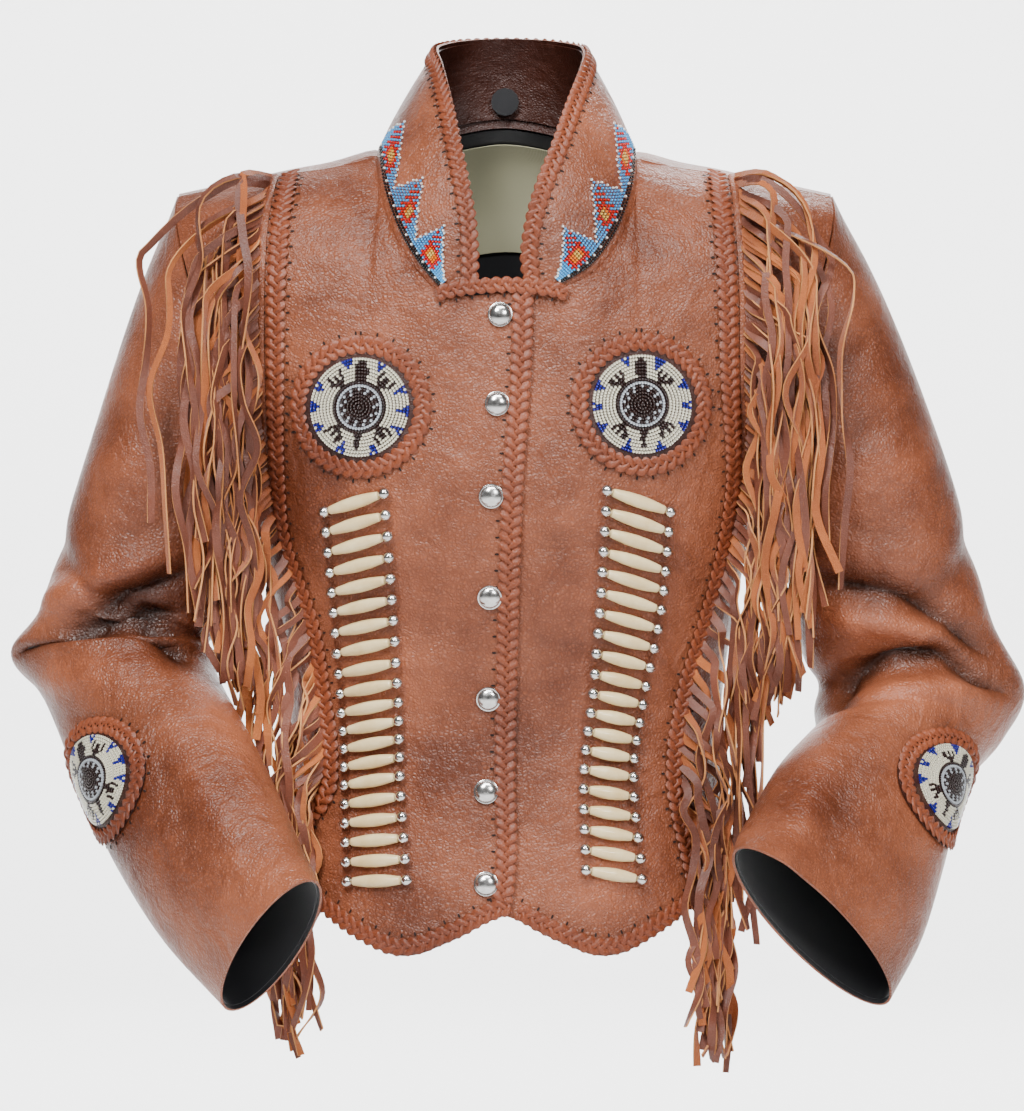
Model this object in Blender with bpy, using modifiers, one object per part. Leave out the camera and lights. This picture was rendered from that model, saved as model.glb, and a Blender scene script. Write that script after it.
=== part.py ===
"""Short western jacket of brown leather with long fringe, in the filled-out pose it is worn in.

Metres, +Z up. The front faces -Y and the wearer's left is +X. The origin is at the base of the
neck, midway between the shoulders. Tables are in millimetres and degrees unless a column says
otherwise. "Out" is the distance from the centre plane towards the arm on the piece's own side.
"""

import math

import bmesh
import bpy
import numpy as np
from mathutils import Matrix, Vector

MM = 0.001

# Driving dimensions
LEATHER = 1.6 * MM
LINING = 1.0 * MM
LABEL = 0.8 * MM
TAB_RADIUS = 10.0 * MM
TAB_CLEAR = 4.0 * MM
FACING_EASE = 0.5 * MM
SEAM_GAP = 0.3 * MM
TRIM_CLEAR = LEATHER / 2 + 0.6 * MM
ARMHOLE_CLEAR = SEAM_GAP + LEATHER
SHOULDER_CUT = 0.45 * MM
BRAID_WIDTH = 15.0 * MM
EDGE_BRAID_WIDTH = 10.0 * MM
BRAID_THICK = 2.4 * MM
SHOULDER_SEAM_TURN = 0.40
SECTION_POWER = 2.3
UNDERLAP = 30.0 * MM
SNAP_DIAMETER = 17.0 * MM
SNAP_HEIGHT = 5.0 * MM
ROSETTE_RING_RADIUS = 48.5 * MM
ROSETTE_DISC_RADIUS = 34.5 * MM
PIPE_RADIUS = 4.4 * MM
STRAND_WIDTH = 4.0 * MM
STRAND_THICK = 1.2 * MM
STRANDS_PER_SIDE = 22
TOOTH = 0.45
LAYERS = 3
LAYER_STEP = 3.6 * MM
SLANT = 1.15
LIFT_SHARE = 0.4
LEAST_DROP = 24.0 * MM
TIP_VARIES = 8.0 * MM

# How finely each form is divided
ARMHOLE_ROWS = 10
SIDE_SEAM_ROWS = 6
PANEL_ROWS = ARMHOLE_ROWS + SIDE_SEAM_ROWS
SHOULDER_COLUMNS = 2
ARM_COLUMNS = 4
NECK_COLUMNS_FRONT = 6
NECK_COLUMNS_BACK = 4
SLEEVE_SIDES = 2 * ARMHOLE_ROWS
CUFF_LINING_ROWS = 3

RIGHT, LEFT = -1, 1

# Torso sections: height, half width, depth of the front, depth of the back
TORSO = (
    (-600, 169, 112, 108),
    (-540, 165, 109, 105),
    (-500, 160, 106, 101),
    (-440, 153, 100, 94),
    (-385, 150, 97, 90),
    (-320, 158, 106, 94),
    (-260, 170, 116, 98),
    (-222, 178, 120, 101),
    (-205, 184, 120, 103),
    (-165, 205, 119, 105),
    (-110, 228, 116, 106),
    (-59, 245, 112, 106),
    (-20, 262, 108, 104),
    (90, 290, 104, 100),
)

# Shoulder ridge: out, height, drop over which the front turns down, same for the back
SHOULDER = (
    (-50, 47, 136, 96),
    (0, 68, 140, 98),
    (50, 47, 136, 96),
    (88, 15, 122, 92),
    (140, 2, 90, 90),
    (190, -9, 72, 72),
    (228, -17, 62, 62),
    (270, -26, 56, 56),
)

# Armhole, from the shoulder seam to the underarm: share, side angle, turn in radians
ARMHOLE_FRONT = (
    (0.00, 58.0, SHOULDER_SEAM_TURN),
    (0.20, 63.0, 1.21),
    (0.45, 64.0, 2.02),
    (0.70, 66.5, 2.74),
    (0.88, 74.0, 3.15),
    (1.00, 90.0, 3.334),
)
ARMHOLE_BACK = (
    (0.00, 58.0, SHOULDER_SEAM_TURN),
    (0.14, 58.5, -0.35),
    (0.30, 62.0, -1.15),
    (0.50, 64.0, -2.02),
    (0.72, 67.0, -2.74),
    (0.89, 75.0, -3.15),
    (1.00, 90.0, -3.334),
)

# Princess seam: height, out on the right, out on the left
PRINCESS = (
    (-505, 136, 131),
    (-450, 133, 119),
    (-435, 122, 116),
    (-400, 119, 116),
    (-370, 123, 121),
    (-315, 131, 136),
    (-265, 148, 148),
    (-215, 154, 155),
    (-150, 155, 152),
    (-75, 154, 150),
    (-40, 152, 148),
    (20, 143, 144),
)

# Front hem: out, height
HEM = (
    (-40, -513),
    (0, -513),
    (35, -530),
    (70, -541),
    (100, -529),
    (136, -505),
    (145, -501),
)

# Neckline, front end to centre back: share, out on the right, out on the left, turn in degrees
NECKLINE = (
    (0.00, 34, 28, 95.5),
    (0.12, 46, 41, 91.5),
    (0.24, 58, 59, 84.0),
    (0.36, 69, 72, 74.0),
    (0.48, 78, 82, 62.0),
    (0.60, 85, 89, 46.0),
    (0.72, 88, 91, math.degrees(SHOULDER_SEAM_TURN)),
    (0.79, 86, 88, -4.0),
    (0.86, 72, 74, -22.0),
    (0.93, 42, 43, -38.0),
    (1.00, 0, 0, -45.0),
    (1.07, -42, -43, -38.0),
)

# Free edge of the collar: share, out on the right, out on the left, y, height
COLLAR_EDGE = (
    (0.00, 19, 14, -114, -88),
    (0.12, 19, 12, -113, -64),
    (0.24, 21, 16, -110, -38),
    (0.36, 25, 23, -103, -14),
    (0.48, 30, 33, -90, 12),
    (0.60, 36, 43, -68, 42),
    (0.72, 43, 53, -36, 70),
    (0.79, 47, 55, -6, 83),
    (0.86, 44, 50, 28, 91),
    (0.93, 26, 28, 52, 97),
    (1.00, 0, 0, 60, 99),
    (1.07, -26, -28, 52, 97),
)

# Free edge of the right front, which lies over the left one: height, x
FRONT_EDGE = (
    (-520, 2),
    (-505, 4),
    (-490, 6.5),
    (-410, 7),
    (-320, 9),
    (-230, 12),
    (-120, 19),
    (-60, 19),
)

# Sleeve sections from shoulder to cuff: outer line x y z, inner line x y z, half depth
SLEEVE_RIGHT = (
    (246, 2, -62, 190, 0, -226, 62),
    (262, 2, -105, 192, 0, -243, 62),
    (280, 2, -161, 194, 0, -264, 61),
    (297, 4, -216, 195, -1, -286, 59),
    (313, 10, -266, 198, -5, -308, 57),
    (323, 15, -308, 204, -12, -324, 55),
    (344, 18, -342, 207, -18, -332, 55),
    (323, 10, -368, 206, -32, -342, 52),
    (306, -6, -398, 198, -56, -357, 50),
    (284, -42, -440, 178, -104, -388, 46),
    (257, -80, -486, 158, -146, -424, 41),
    (222, -114, -532, 141, -186, -458, 35),
    (179, -142, -573, 128, -222, -481, 28),
)
SLEEVE_LEFT = (
    (251, 2, -62, 191, 0, -226, 62),
    (271, 2, -105, 193, 0, -243, 62),
    (293, 2, -161, 196, 0, -264, 61),
    (312, 4, -216, 199, -1, -286, 59),
    (327, 9, -266, 203, -4, -313, 57),
    (341, 14, -318, 211, -9, -343, 55),
    (363, 18, -365, 220, -14, -365, 52),
    (347, 8, -401, 219, -40, -385, 49),
    (324, -10, -425, 210, -62, -391, 50),
    (306, -42, -454, 188, -106, -410, 46),
    (293, -80, -491, 168, -146, -438, 41),
    (276, -114, -533, 157, -184, -453, 33),
    (253, -142, -569, 153, -216, -460, 26),
)
SLEEVE_STEPS = (0, 0.5, 1, 2, 3, 4, 5, 5.5, 6, 6.5, 7, 7.5, 8, 8.5, 9, 10, 11, 12, 13)

# Sleeve folds: station, middle angle, spread of angle, depth, breadth in stations, slant per radian
SLEEVE_FOLDS = (
    (5.35, 55, 70, -7, 0.33, 0.55),
    (6.60, 90, 60, -3, 0.50, 0.00),
    (7.65, 95, 70, 4, 0.45, 0.20),
    (6.30, 250, 70, -6, 0.40, -0.30),
    (7.10, 240, 70, 5, 0.42, -0.30),
)

# Fringe drape: height, y at the near column, y at the far column
DRAPE = (
    (-640, -58, -22),
    (-385, -58, -22),
    (-345, -62, -92),
    (-300, -68, -90),
    (-250, -76, -88),
    (-190, -86, -86),
    (-130, -96, -84),
    (-80, -98, -80),
    (-40, -94, -80),
    (-15, -80, -68),
    (20, -56, -46),
)
FRINGE_NEAR = 156.0 * MM
FRINGE_FAR = 235.0 * MM

# Fringe columns: share down the seam, distance out, height of the tip
COLUMNS_RIGHT = (
    (0.00, 234, -250),
    (0.10, 223, -292),
    (0.20, 211, -322),
    (0.32, 193, -340),
    (0.57, 181, -346),
    (0.59, 174, -500),
    (0.80, 166, -585),
    (1.00, 160, -606),
)
COLUMNS_LEFT = (
    (0.00, 241, -252),
    (0.10, 229, -300),
    (0.20, 216, -330),
    (0.32, 196, -342),
    (0.57, 181, -350),
    (0.59, 174, -510),
    (0.80, 166, -595),
    (1.00, 160, -612),
)

# Hairpipe columns: row, x of the left end, height of the left end, x and height of the right end
PIPES_RIGHT = (
    (0, -120, -240, -80, -228),
    (5, -114, -308, -75, -299),
    (10, -109, -377, -71, -369),
    (14, -107, -427, -70, -420),
    (19, -105, -492, -65, -490),
)
PIPES_LEFT = (
    (0, 68, -226, 110, -240),
    (5, 64, -294, 104, -306),
    (10, 59, -363, 92, -371),
    (14, 53, -415, 86, -421),
    (19, 54, -483, 91, -490),
)
PIPE_ROWS = 20

# Turned outline of a hairpipe with its two end beads: share of the length, share of the radius
PIPE_OUTLINE = (
    (0.000, 0.25),
    (0.075, 0.86),
    (0.155, 0.42),
    (0.500, 1.00),
    (0.845, 0.42),
    (0.925, 0.86),
    (1.000, 0.25),
)

# Snaps down the front: x, height
SNAPS = (
    (-3, -108),
    (-5, -168),
    (-9, -230),
    (-10, -298),
    (-11, -367),
    (-12.5, -430),
    (-12.5, -492),
)

# Bead strips: rows of the collar at the foot, and at the top from the front to the side
BEAD_STRIP_FOOT = 0.22
BEAD_STRIP_TOP = (1.6, 1.7, 1.7, 1.65, 1.55, 1.3)
BEAD_STRIP_THICK = 1.6 * MM

# Rosettes: x and height of a chest one, station and angle of a sleeve one
CHEST_ROSETTES = {RIGHT: (-97, -170), LEFT: (92, -168)}
SLEEVE_ROSETTES = {RIGHT: (10.2, 58), LEFT: (10.0, 52)}

LEATHER_BROWN = (0.23, 0.085, 0.045)
BRAID_BROWN = (0.26, 0.10, 0.055)
SUEDE_TAN = (0.42, 0.17, 0.07)
SATIN_BLACK = (0.012, 0.012, 0.014)
CREAM = (0.72, 0.66, 0.52)
BONE = (0.80, 0.72, 0.50)
SILVER = (0.75, 0.74, 0.72)
BEAD_BLUE = (0.40, 0.62, 0.75)


def through(rows, at):
    """Smooth curve through a table's rows, whose first column is the parameter."""
    rows = np.asarray(rows, dtype=float)
    knots, values = rows[:, 0], rows[:, 1:]
    slopes = np.gradient(values, knots, axis=0)
    at = np.clip(np.asarray(at, dtype=float), knots[0], knots[-1])
    low = np.clip(np.searchsorted(knots, at, side="right") - 1, 0, len(knots) - 2)
    width = (knots[low + 1] - knots[low])[..., None]
    s = (at - knots[low])[..., None] / width
    start, end = values[low], values[low + 1]
    run_in, run_out = slopes[low] * width, slopes[low + 1] * width
    return (
        (2 * s**3 - 3 * s**2 + 1) * start
        + (s**3 - 2 * s**2 + s) * run_in
        + (3 * s**2 - 2 * s**3) * end
        + (s**3 - s**2) * run_out
    )


def ease(low, high, value):
    """Rises smoothly from 0 at low to 1 at high."""
    t = np.clip((np.asarray(value, dtype=float) - low) / (high - low), 0.0, 1.0)
    return t * t * (3 - 2 * t)


def torso_section(height):
    """Half width, front depth and back depth at a height."""
    rows = through(TORSO, np.asarray(height) / MM) * MM
    return rows[..., 0], rows[..., 1], rows[..., 2]


def shoulder(out, turn):
    """Ridge height and the drop of the turn, for the front where turn is above 0."""
    rows = through(SHOULDER, np.abs(out) / MM) * MM
    return rows[..., 0], np.where(np.asarray(turn) > 0, rows[..., 1], rows[..., 2])


def drop_below_ridge(turn, depth):
    """A quarter round at the shoulder, then straight down."""
    size = np.abs(turn)
    return depth * np.where(size < math.pi / 2, 1 - np.cos(size), 1 + size - math.pi / 2)


def turn_for_drop(drop, depth):
    """The turn that gives a drop below the ridge."""
    share = np.maximum(drop, 0) / depth
    return np.where(share < 1, np.arccos(np.clip(1 - share, -1, 1)), share - 1 + math.pi / 2)


def torso(angle, turn):
    """Point of the body's surface: angle from the centre plane to the side, turn over the shoulder."""
    angle, turn = np.broadcast_arrays(np.asarray(angle, float), np.asarray(turn, float))
    out = np.zeros_like(angle)
    across = np.sign(np.sin(angle)) * np.abs(np.sin(angle)) ** (2 / SECTION_POWER)
    for _ in range(12):
        ridge, depth = shoulder(out, turn)
        height = ridge - drop_below_ridge(turn, depth)
        width, front, back = torso_section(height)
        out = width * across
    fore = np.abs(np.cos(angle)) ** (2 / SECTION_POWER)
    rounding = np.sin(np.minimum(np.abs(turn), math.pi / 2))
    y = np.where(turn > 0, -front, back) * fore * rounding
    return np.stack([out, y, height], axis=-1)


def chart(out, height, face=1):
    """Angle and turn of a point at a distance out and a height; face is 1 in front, -1 behind."""
    out, height = np.broadcast_arrays(np.asarray(out, float), np.asarray(height, float))
    ridge, depth = shoulder(out, np.full_like(out, face))
    width = torso_section(height)[0]
    share = np.clip(np.abs(out) / width, 0, 1)
    angle = np.sign(out) * np.arcsin(share ** (SECTION_POWER / 2))
    return np.stack([angle, face * turn_for_drop(ridge - height, depth)], axis=-1)


def chart_at_turn(out_at_height, turn):
    """Angle and turn along a line given as a distance out for each height."""
    turn = np.asarray(turn, float)
    height = np.full_like(turn, -0.3)
    for _ in range(30):
        out = out_at_height(height)
        ridge, depth = shoulder(out, np.ones_like(out))
        height = 0.5 * height + 0.5 * (ridge - drop_below_ridge(turn, depth))
    return np.stack([chart(out, height)[..., 0], turn], axis=-1)


def princess_out(side):
    """Distance out of the princess seam as a function of the height."""
    column = 0 if side == RIGHT else 1
    return lambda height: through(PRINCESS, np.asarray(height) / MM)[..., column] * MM


def front_edge_out(side):
    """Front edge: the right one leans over the centre, the left one lies under it."""

    def out(height):
        lean = through(FRONT_EDGE, np.asarray(height) / MM)[..., 0] * MM
        return -lean if side == RIGHT else lean - UNDERLAP

    return out


def hem_height(out):
    """Height of the front hem at a distance out."""
    return through(HEM, np.asarray(out) / MM)[..., 0] * MM


def neckline(side, share):
    """Angle and turn of the neckline from the front end to the centre back."""
    rows = through(NECKLINE, share)
    out = rows[..., 0 if side == RIGHT else 1] * MM
    turn = np.radians(rows[..., 2])
    ridge, depth = shoulder(out, turn)
    width = torso_section(ridge - drop_below_ridge(turn, depth))[0]
    angle = np.arcsin((out / width) ** (SECTION_POWER / 2))
    return np.stack([angle, turn], axis=-1)


def armhole(table, share):
    """Angle and turn of one half of the armhole."""
    rows = through(table, share)
    return np.stack([np.radians(rows[..., 0]), rows[..., 1]], axis=-1)


def coons(bottom, top, left, right):
    """Grid between four edges that are lists of (angle, turn)."""
    u = np.linspace(0, 1, len(bottom))[:, None, None]
    v = np.linspace(0, 1, len(left))[None, :, None]
    edges = (1 - v) * bottom[:, None] + v * top[:, None] + (1 - u) * left[None] + u * right[None]
    corners = (
        (1 - u) * (1 - v) * bottom[0]
        + u * (1 - v) * bottom[-1]
        + (1 - u) * v * top[0]
        + u * v * top[-1]
    )
    return edges - corners


def edge_rows(out_at_height, hem_out, top_turn):
    """A seam from hem to shoulder, in even steps of turn."""
    ridge, depth = shoulder(hem_out, 1.0)
    hem_turn = turn_for_drop(ridge - hem_height(hem_out), depth)
    return chart_at_turn(out_at_height, np.linspace(hem_turn, top_turn, PANEL_ROWS + 1))


def princess_rows(side):
    """The princess seam as rows that the panels on both sides of it share."""
    out = princess_out(side)
    return edge_rows(out, out(-0.505), SHOULDER_SEAM_TURN)


def shoulder_seam(start, end, columns):
    """Even steps along the shoulder seam between two side angles."""
    angle = np.linspace(start, end, columns + 1)
    return np.stack([angle, np.full_like(angle, SHOULDER_SEAM_TURN)], axis=-1)


def normals(grid, wrap=False):
    """Unit normals of a grid of points, from its neighbours' differences."""
    if wrap:
        ring = np.concatenate([grid[:, -1:], grid, grid[:, :1]], axis=1)
        across = (ring[:, 2:] - ring[:, :-2])
    else:
        across = np.gradient(grid, axis=1)
    n = np.cross(np.gradient(grid, axis=0), across)
    return n / np.maximum(np.linalg.norm(n, axis=-1, keepdims=True), 1e-12)


def mirrored(grid, side):
    """The same points on the right or the left side."""
    return grid * np.array([side, 1.0, 1.0])


def outward(grid):
    """Normals of a torso grid that point away from the body's middle line."""
    n = normals(grid)
    away = grid * np.array([1.0, 1.0, 0.0]) + np.array([0.0, 0.0, 0.05])
    return n * np.sign(np.sum(n * away, axis=-1, keepdims=True))


def trimmed(grid, edge, cut):
    """A grid with one edge cut back along its own facets; edge is first, last, low or high."""
    grid = grid.copy()
    line, beside = {
        "first": (grid[0], grid[1]),
        "last": (grid[-1], grid[-2]),
        "low": (grid[:, 0], grid[:, 1]),
        "high": (grid[:, -1], grid[:, -2]),
    }[edge]
    way = beside - line
    line += way / np.linalg.norm(way, axis=-1, keepdims=True) * cut
    return grid


def front_grid(side):
    """Front panel, from its free edge to the princess seam."""
    edge, seam = front_edge_out(side), princess_out(side)
    neck_height = -0.0915
    left = edge_rows(edge, edge(-0.513), chart(edge(neck_height), neck_height)[1])
    right = princess_rows(side)
    hem_out = np.linspace(edge(-0.513), seam(-0.505), NECK_COLUMNS_FRONT + SHOULDER_COLUMNS + 2)
    bottom = chart(hem_out, hem_height(hem_out))
    bottom[0], bottom[-1] = left[0], right[0]
    neck = neckline(side, np.linspace(0, 0.72, NECK_COLUMNS_FRONT + 1))
    line = shoulder_seam(neck[-1][0], right[-1][0], SHOULDER_COLUMNS)
    top = np.concatenate([left[-1:], neck, line[1:]])
    chart_grid = coons(bottom, top, left, right)
    grid = torso(chart_grid[..., 0], chart_grid[..., 1])
    grid = trimmed(trimmed(grid, "last", SEAM_GAP / 2), "high", SHOULDER_CUT)
    grid = mirrored(grid, side)
    if side == LEFT:
        lean = -front_edge_out(RIGHT)(grid[..., 2])
        sunk = 1 - ease(9 * MM, 32 * MM, grid[..., 0] - lean)
        grid = grid - outward(grid) * (sunk * (LEATHER + 2 * SEAM_GAP))[..., None]
    return grid


def side_grid(side):
    """Side panel, from the princess seam to the side seam and armhole."""
    left = princess_rows(side)
    hem_turn = left[0][1]
    seam_turn = np.linspace(hem_turn, ARMHOLE_FRONT[-1][2], SIDE_SEAM_ROWS + 1)[:-1]
    seam = np.stack([np.full_like(seam_turn, math.pi / 2), seam_turn], axis=-1)
    right = np.concatenate([seam, armhole(ARMHOLE_FRONT, np.linspace(1, 0, ARMHOLE_ROWS + 1))])
    bottom = np.linspace(left[0], right[0], ARM_COLUMNS + 1)
    top = shoulder_seam(left[-1][0], right[-1][0], ARM_COLUMNS)
    chart_grid = coons(bottom, top, left, right)
    grid = torso(chart_grid[..., 0], chart_grid[..., 1])
    for edge, cut in (("first", SEAM_GAP / 2), ("last", SEAM_GAP / 2), ("high", SHOULDER_CUT)):
        grid = trimmed(grid, edge, cut)
    return mirrored(grid, side)


def back_half(side):
    """Half of the back as (angle, turn), from the centre line to the side seam and armhole."""
    hem_turn = -princess_rows(side)[0][1]
    seam_turn = np.linspace(hem_turn, ARMHOLE_BACK[-1][2], SIDE_SEAM_ROWS + 1)[:-1]
    hem_level = torso(math.pi / 2, hem_turn)[2]
    seam = np.stack([np.full_like(seam_turn, math.pi / 2), seam_turn], axis=-1)
    right = np.concatenate([seam, armhole(ARMHOLE_BACK, np.linspace(1, 0, ARMHOLE_ROWS + 1))])
    neck = neckline(side, np.linspace(1, 0.72, NECK_COLUMNS_BACK + 1))
    near = princess_rows(side)[-1][0]
    inner = shoulder_seam(neck[-1][0], near, SHOULDER_COLUMNS)
    outer = shoulder_seam(near, right[-1][0], ARM_COLUMNS)
    top = np.concatenate([neck, inner[1:], outer[1:]])
    bottom_angle = np.linspace(0, math.pi / 2, len(top))
    width = torso_section(hem_level)[0]
    bottom = chart(width * np.sin(bottom_angle) ** (2 / SECTION_POWER), hem_level, -1)
    bottom[:, 0] = bottom_angle
    bottom[-1, 1] = hem_turn
    centre_turn = np.linspace(bottom[0][1], neck[0][1], PANEL_ROWS + 1)
    left = np.stack([np.zeros_like(centre_turn), centre_turn], axis=-1)
    return coons(bottom, top, left, right)


def back_grid():
    """Back panel, side seam to side seam, one piece over the ridge of both shoulders."""
    halves = []
    for side in (RIGHT, LEFT):
        chart_grid = back_half(side)
        grid = torso(chart_grid[..., 0], chart_grid[..., 1])
        grid = trimmed(trimmed(grid, "last", SEAM_GAP / 2), "high", SHOULDER_CUT)
        halves.append(mirrored(grid, side))
    return np.concatenate([halves[0][::-1], halves[1][1:]])


def collar_out(grid):
    """Normals of a collar grid that point away from the neck."""
    n = normals(grid)
    middle = np.array([0.0, -0.01, 0.03])
    return n * np.sign(np.sum(n * (grid - middle), axis=-1, keepdims=True))


def collar_grid(inset=0.0, rows=3):
    """Stand collar from its seam to its free edge, right end to left end, moved in by inset."""
    front = np.linspace(0, 0.72, NECK_COLUMNS_FRONT + 1)
    back = np.linspace(0.72, 1, NECK_COLUMNS_BACK + 1)[1:]
    shares = np.concatenate([front, back])
    halves = []
    for side in (RIGHT, LEFT):
        line = neckline(side, shares)
        base = torso(line[:, 0], line[:, 1])
        edge = through(COLLAR_EDGE, shares) * MM
        free = np.stack([edge[:, 0 if side == RIGHT else 1], edge[:, 2], edge[:, 3]], axis=-1)
        lift = free - base
        reach = np.linalg.norm(lift, axis=-1, keepdims=True)
        base = base + lift / reach * (SEAM_GAP + 0.75 * LEATHER)
        h = np.linspace(0, 1, rows + 1)[None, :, None]
        out = base * np.array([1.0, 1.0, 0.0]) + np.array([1e-6, 0.0, 0.0])
        out = out / np.linalg.norm(out, axis=-1, keepdims=True)
        swell = (3 * MM) * np.sin(np.pi * h) * ease(0, 0.3, shares)[:, None, None]
        grid = base[:, None] * (1 - h) + free[:, None] * h + out[:, None] * swell
        halves.append(mirrored(grid, side))
    grid = np.concatenate([halves[0], halves[1][-2::-1]])
    return grid - collar_out(grid) * inset


def sleeve_rings(side):
    """One ring of points for each row of the sleeve's table, the armhole first."""
    turn = np.arange(SLEEVE_SIDES) / SLEEVE_SIDES * 2 * math.pi
    front = turn <= math.pi + 1e-9
    share = np.where(front, turn, 2 * math.pi - turn) / math.pi
    line = np.where(front[:, None], armhole(ARMHOLE_FRONT, share), armhole(ARMHOLE_BACK, share))
    hole = torso(line[:, 0], line[:, 1])
    rows = np.array(SLEEVE_RIGHT if side == RIGHT else SLEEVE_LEFT, float) * MM
    outer, inner, depth = rows[:, 0:3], rows[:, 3:6], rows[:, 6]
    middle = (outer + inner) / 2
    axis = np.gradient(middle, axis=0)
    fore = np.cross(outer - inner, axis)
    fore = fore / np.linalg.norm(fore, axis=-1, keepdims=True) * depth[:, None]
    fore = fore * -np.sign(fore[:, 1:2])
    rings = (
        middle[:, None]
        + (outer - inner)[:, None] / 2 * np.cos(turn)[None, :, None]
        + fore[:, None] * np.sin(turn)[None, :, None]
    )
    edge = np.roll(hole, -1, axis=0) - np.roll(hole, 1, axis=0)
    edge = edge / np.linalg.norm(edge, axis=-1, keepdims=True)
    away = rings[0] - hole
    away = away - edge * np.sum(away * edge, axis=-1, keepdims=True)
    away = away / np.linalg.norm(away, axis=-1, keepdims=True)
    return np.concatenate([(hole + away * ARMHOLE_CLEAR)[None], rings])


def sleeve_grid(side, steps=SLEEVE_STEPS, inset=0.0):
    """Sleeve surface at the given stations, with its largest folds, moved in by inset."""
    rings = sleeve_rings(side)
    stations = np.arange(len(rings), dtype=float)
    table = np.concatenate([stations[:, None], rings.reshape(len(rings), -1)], axis=1)
    steps = np.asarray(steps, float)
    grid = through(table, steps).reshape(len(steps), SLEEVE_SIDES, 3)
    n = normals(grid, wrap=True)
    middle = grid.mean(axis=1, keepdims=True)
    n = n * np.sign(np.sum(n * (grid - middle), axis=(-1), keepdims=True))
    turn = np.degrees(np.arange(SLEEVE_SIDES) / SLEEVE_SIDES * 2 * math.pi)
    raised = np.zeros(grid.shape[:2])
    for station, angle, spread, depth, breadth, slant in SLEEVE_FOLDS:
        off = (turn - angle + 180) % 360 - 180
        at = station + slant * np.radians(off)
        window = np.exp(-((off / spread) ** 2))
        raised += depth * MM * window[None] * np.exp(-(((steps[:, None] - at[None]) / breadth) ** 2))
    return mirrored(grid + n * (raised - inset)[..., None], side)


def new_collection(name):
    """A collection linked to the scene."""
    collection = bpy.data.collections.new(name)
    bpy.context.scene.collection.children.link(collection)
    return collection


def material(name, color, roughness, metallic=0.0):
    """A Principled material with one colour."""
    found = bpy.data.materials.get(name)
    if found:
        return found
    made = bpy.data.materials.new(name)
    made.use_nodes = True
    shader = made.node_tree.nodes["Principled BSDF"]
    shader.inputs["Base Color"].default_value = (*color, 1.0)
    shader.inputs["Roughness"].default_value = roughness
    shader.inputs["Metallic"].default_value = metallic
    return made


def add_object(name, points, faces, finish):
    """A mesh object in the jacket's collection."""
    mesh = bpy.data.meshes.new(name)
    mesh.from_pydata([tuple(p) for p in points], [], faces)
    mesh.update()
    mesh.materials.append(finish)
    made = bpy.data.objects.new(name, mesh)
    bpy.data.collections["jacket"].objects.link(made)
    return made


def loft_faces(rings, sides, wrap):
    """Quads between neighbouring rings of points."""
    faces = []
    for i in range(rings - 1):
        for j in range(sides if wrap else sides - 1):
            k = (j + 1) % sides
            faces.append((i * sides + j, i * sides + k, (i + 1) * sides + k, (i + 1) * sides + j))
    return faces


def wall(name, grid, thickness, finish, wrap=False):
    """A cloth wall: an open surface with its thickness on both sides of it."""
    rings, sides = grid.shape[:2]
    made = add_object(name, grid.reshape(-1, 3), loft_faces(rings, sides, wrap), finish)
    solid = made.modifiers.new("thickness", "SOLIDIFY")
    solid.thickness = thickness
    solid.offset = 0.0
    return made


def closed_loft(name, sections, finish):
    """A solid through closed sections, with its two ends filled, faces made to point out."""
    rings, sides = sections.shape[:2]
    faces = loft_faces(rings, sides, True)
    faces.append(tuple(range(sides)))
    faces.append(tuple(reversed(range((rings - 1) * sides, rings * sides))))
    made = add_object(name, sections.reshape(-1, 3), faces, finish)
    face_out(made)
    return made


def face_out(made):
    """Turns every face of a closed mesh outwards."""
    shape = bmesh.new()
    shape.from_mesh(made.data)
    bmesh.ops.recalc_face_normals(shape, faces=shape.faces)
    shape.to_mesh(made.data)
    shape.free()


def seat(grid, across, along, n=None):
    """Points on a panel's own facets, and the outward normals there."""
    n = outward(grid) if n is None else n
    columns, rows = grid.shape[0] - 1, grid.shape[1] - 1
    across = np.clip(across, 0, columns)
    along = np.clip(along, 0, rows)
    i = np.minimum(across.astype(int), columns - 1)
    j = np.minimum(along.astype(int), rows - 1)
    s, t = (across - i)[..., None], (along - j)[..., None]

    def blend(values):
        near = values[i, j] * (1 - s) + values[i + 1, j] * s
        far = values[i, j + 1] * (1 - s) + values[i + 1, j + 1] * s
        return near * (1 - t) + far * t

    normal = blend(n)
    return blend(grid), normal / np.linalg.norm(normal, axis=-1, keepdims=True)


def band(name, lines, ways, thickness, finish, clear=TRIM_CLEAR):
    """A flat band across lines of points that lie on the cloth, moved out along the normals."""
    low = [line + way * clear for line, way in zip(lines, ways)]
    high = [line + way * (clear + thickness) for line, way in zip(lines, ways)]
    return closed_loft(name, np.stack(low + high[::-1], axis=1), finish)


def edge_band(name, grid, width, finish, skip):
    """A braid along a panel's free edge, in the panel's own rows above its hem."""
    rows = np.arange(skip, grid.shape[1], dtype=float)
    span = np.linalg.norm(grid[1, skip:] - grid[0, skip:], axis=-1)
    near, near_way = seat(grid, np.zeros_like(rows), rows)
    far, far_way = seat(grid, width / span, rows)
    return band(name, (near, far), (near_way, far_way), BRAID_THICK, finish)


def hem_band(name, grid, first, last, finish):
    """A braid along a panel's hem."""
    columns = np.arange(first, last + 1, dtype=float)
    span = np.linalg.norm(grid[first : last + 1, 1] - grid[first : last + 1, 0], axis=-1)
    near, near_way = seat(grid, columns, np.zeros_like(columns))
    far, far_way = seat(grid, columns, BRAID_WIDTH / span)
    return band(name, (near, far), (near_way, far_way), BRAID_THICK, finish)


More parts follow.
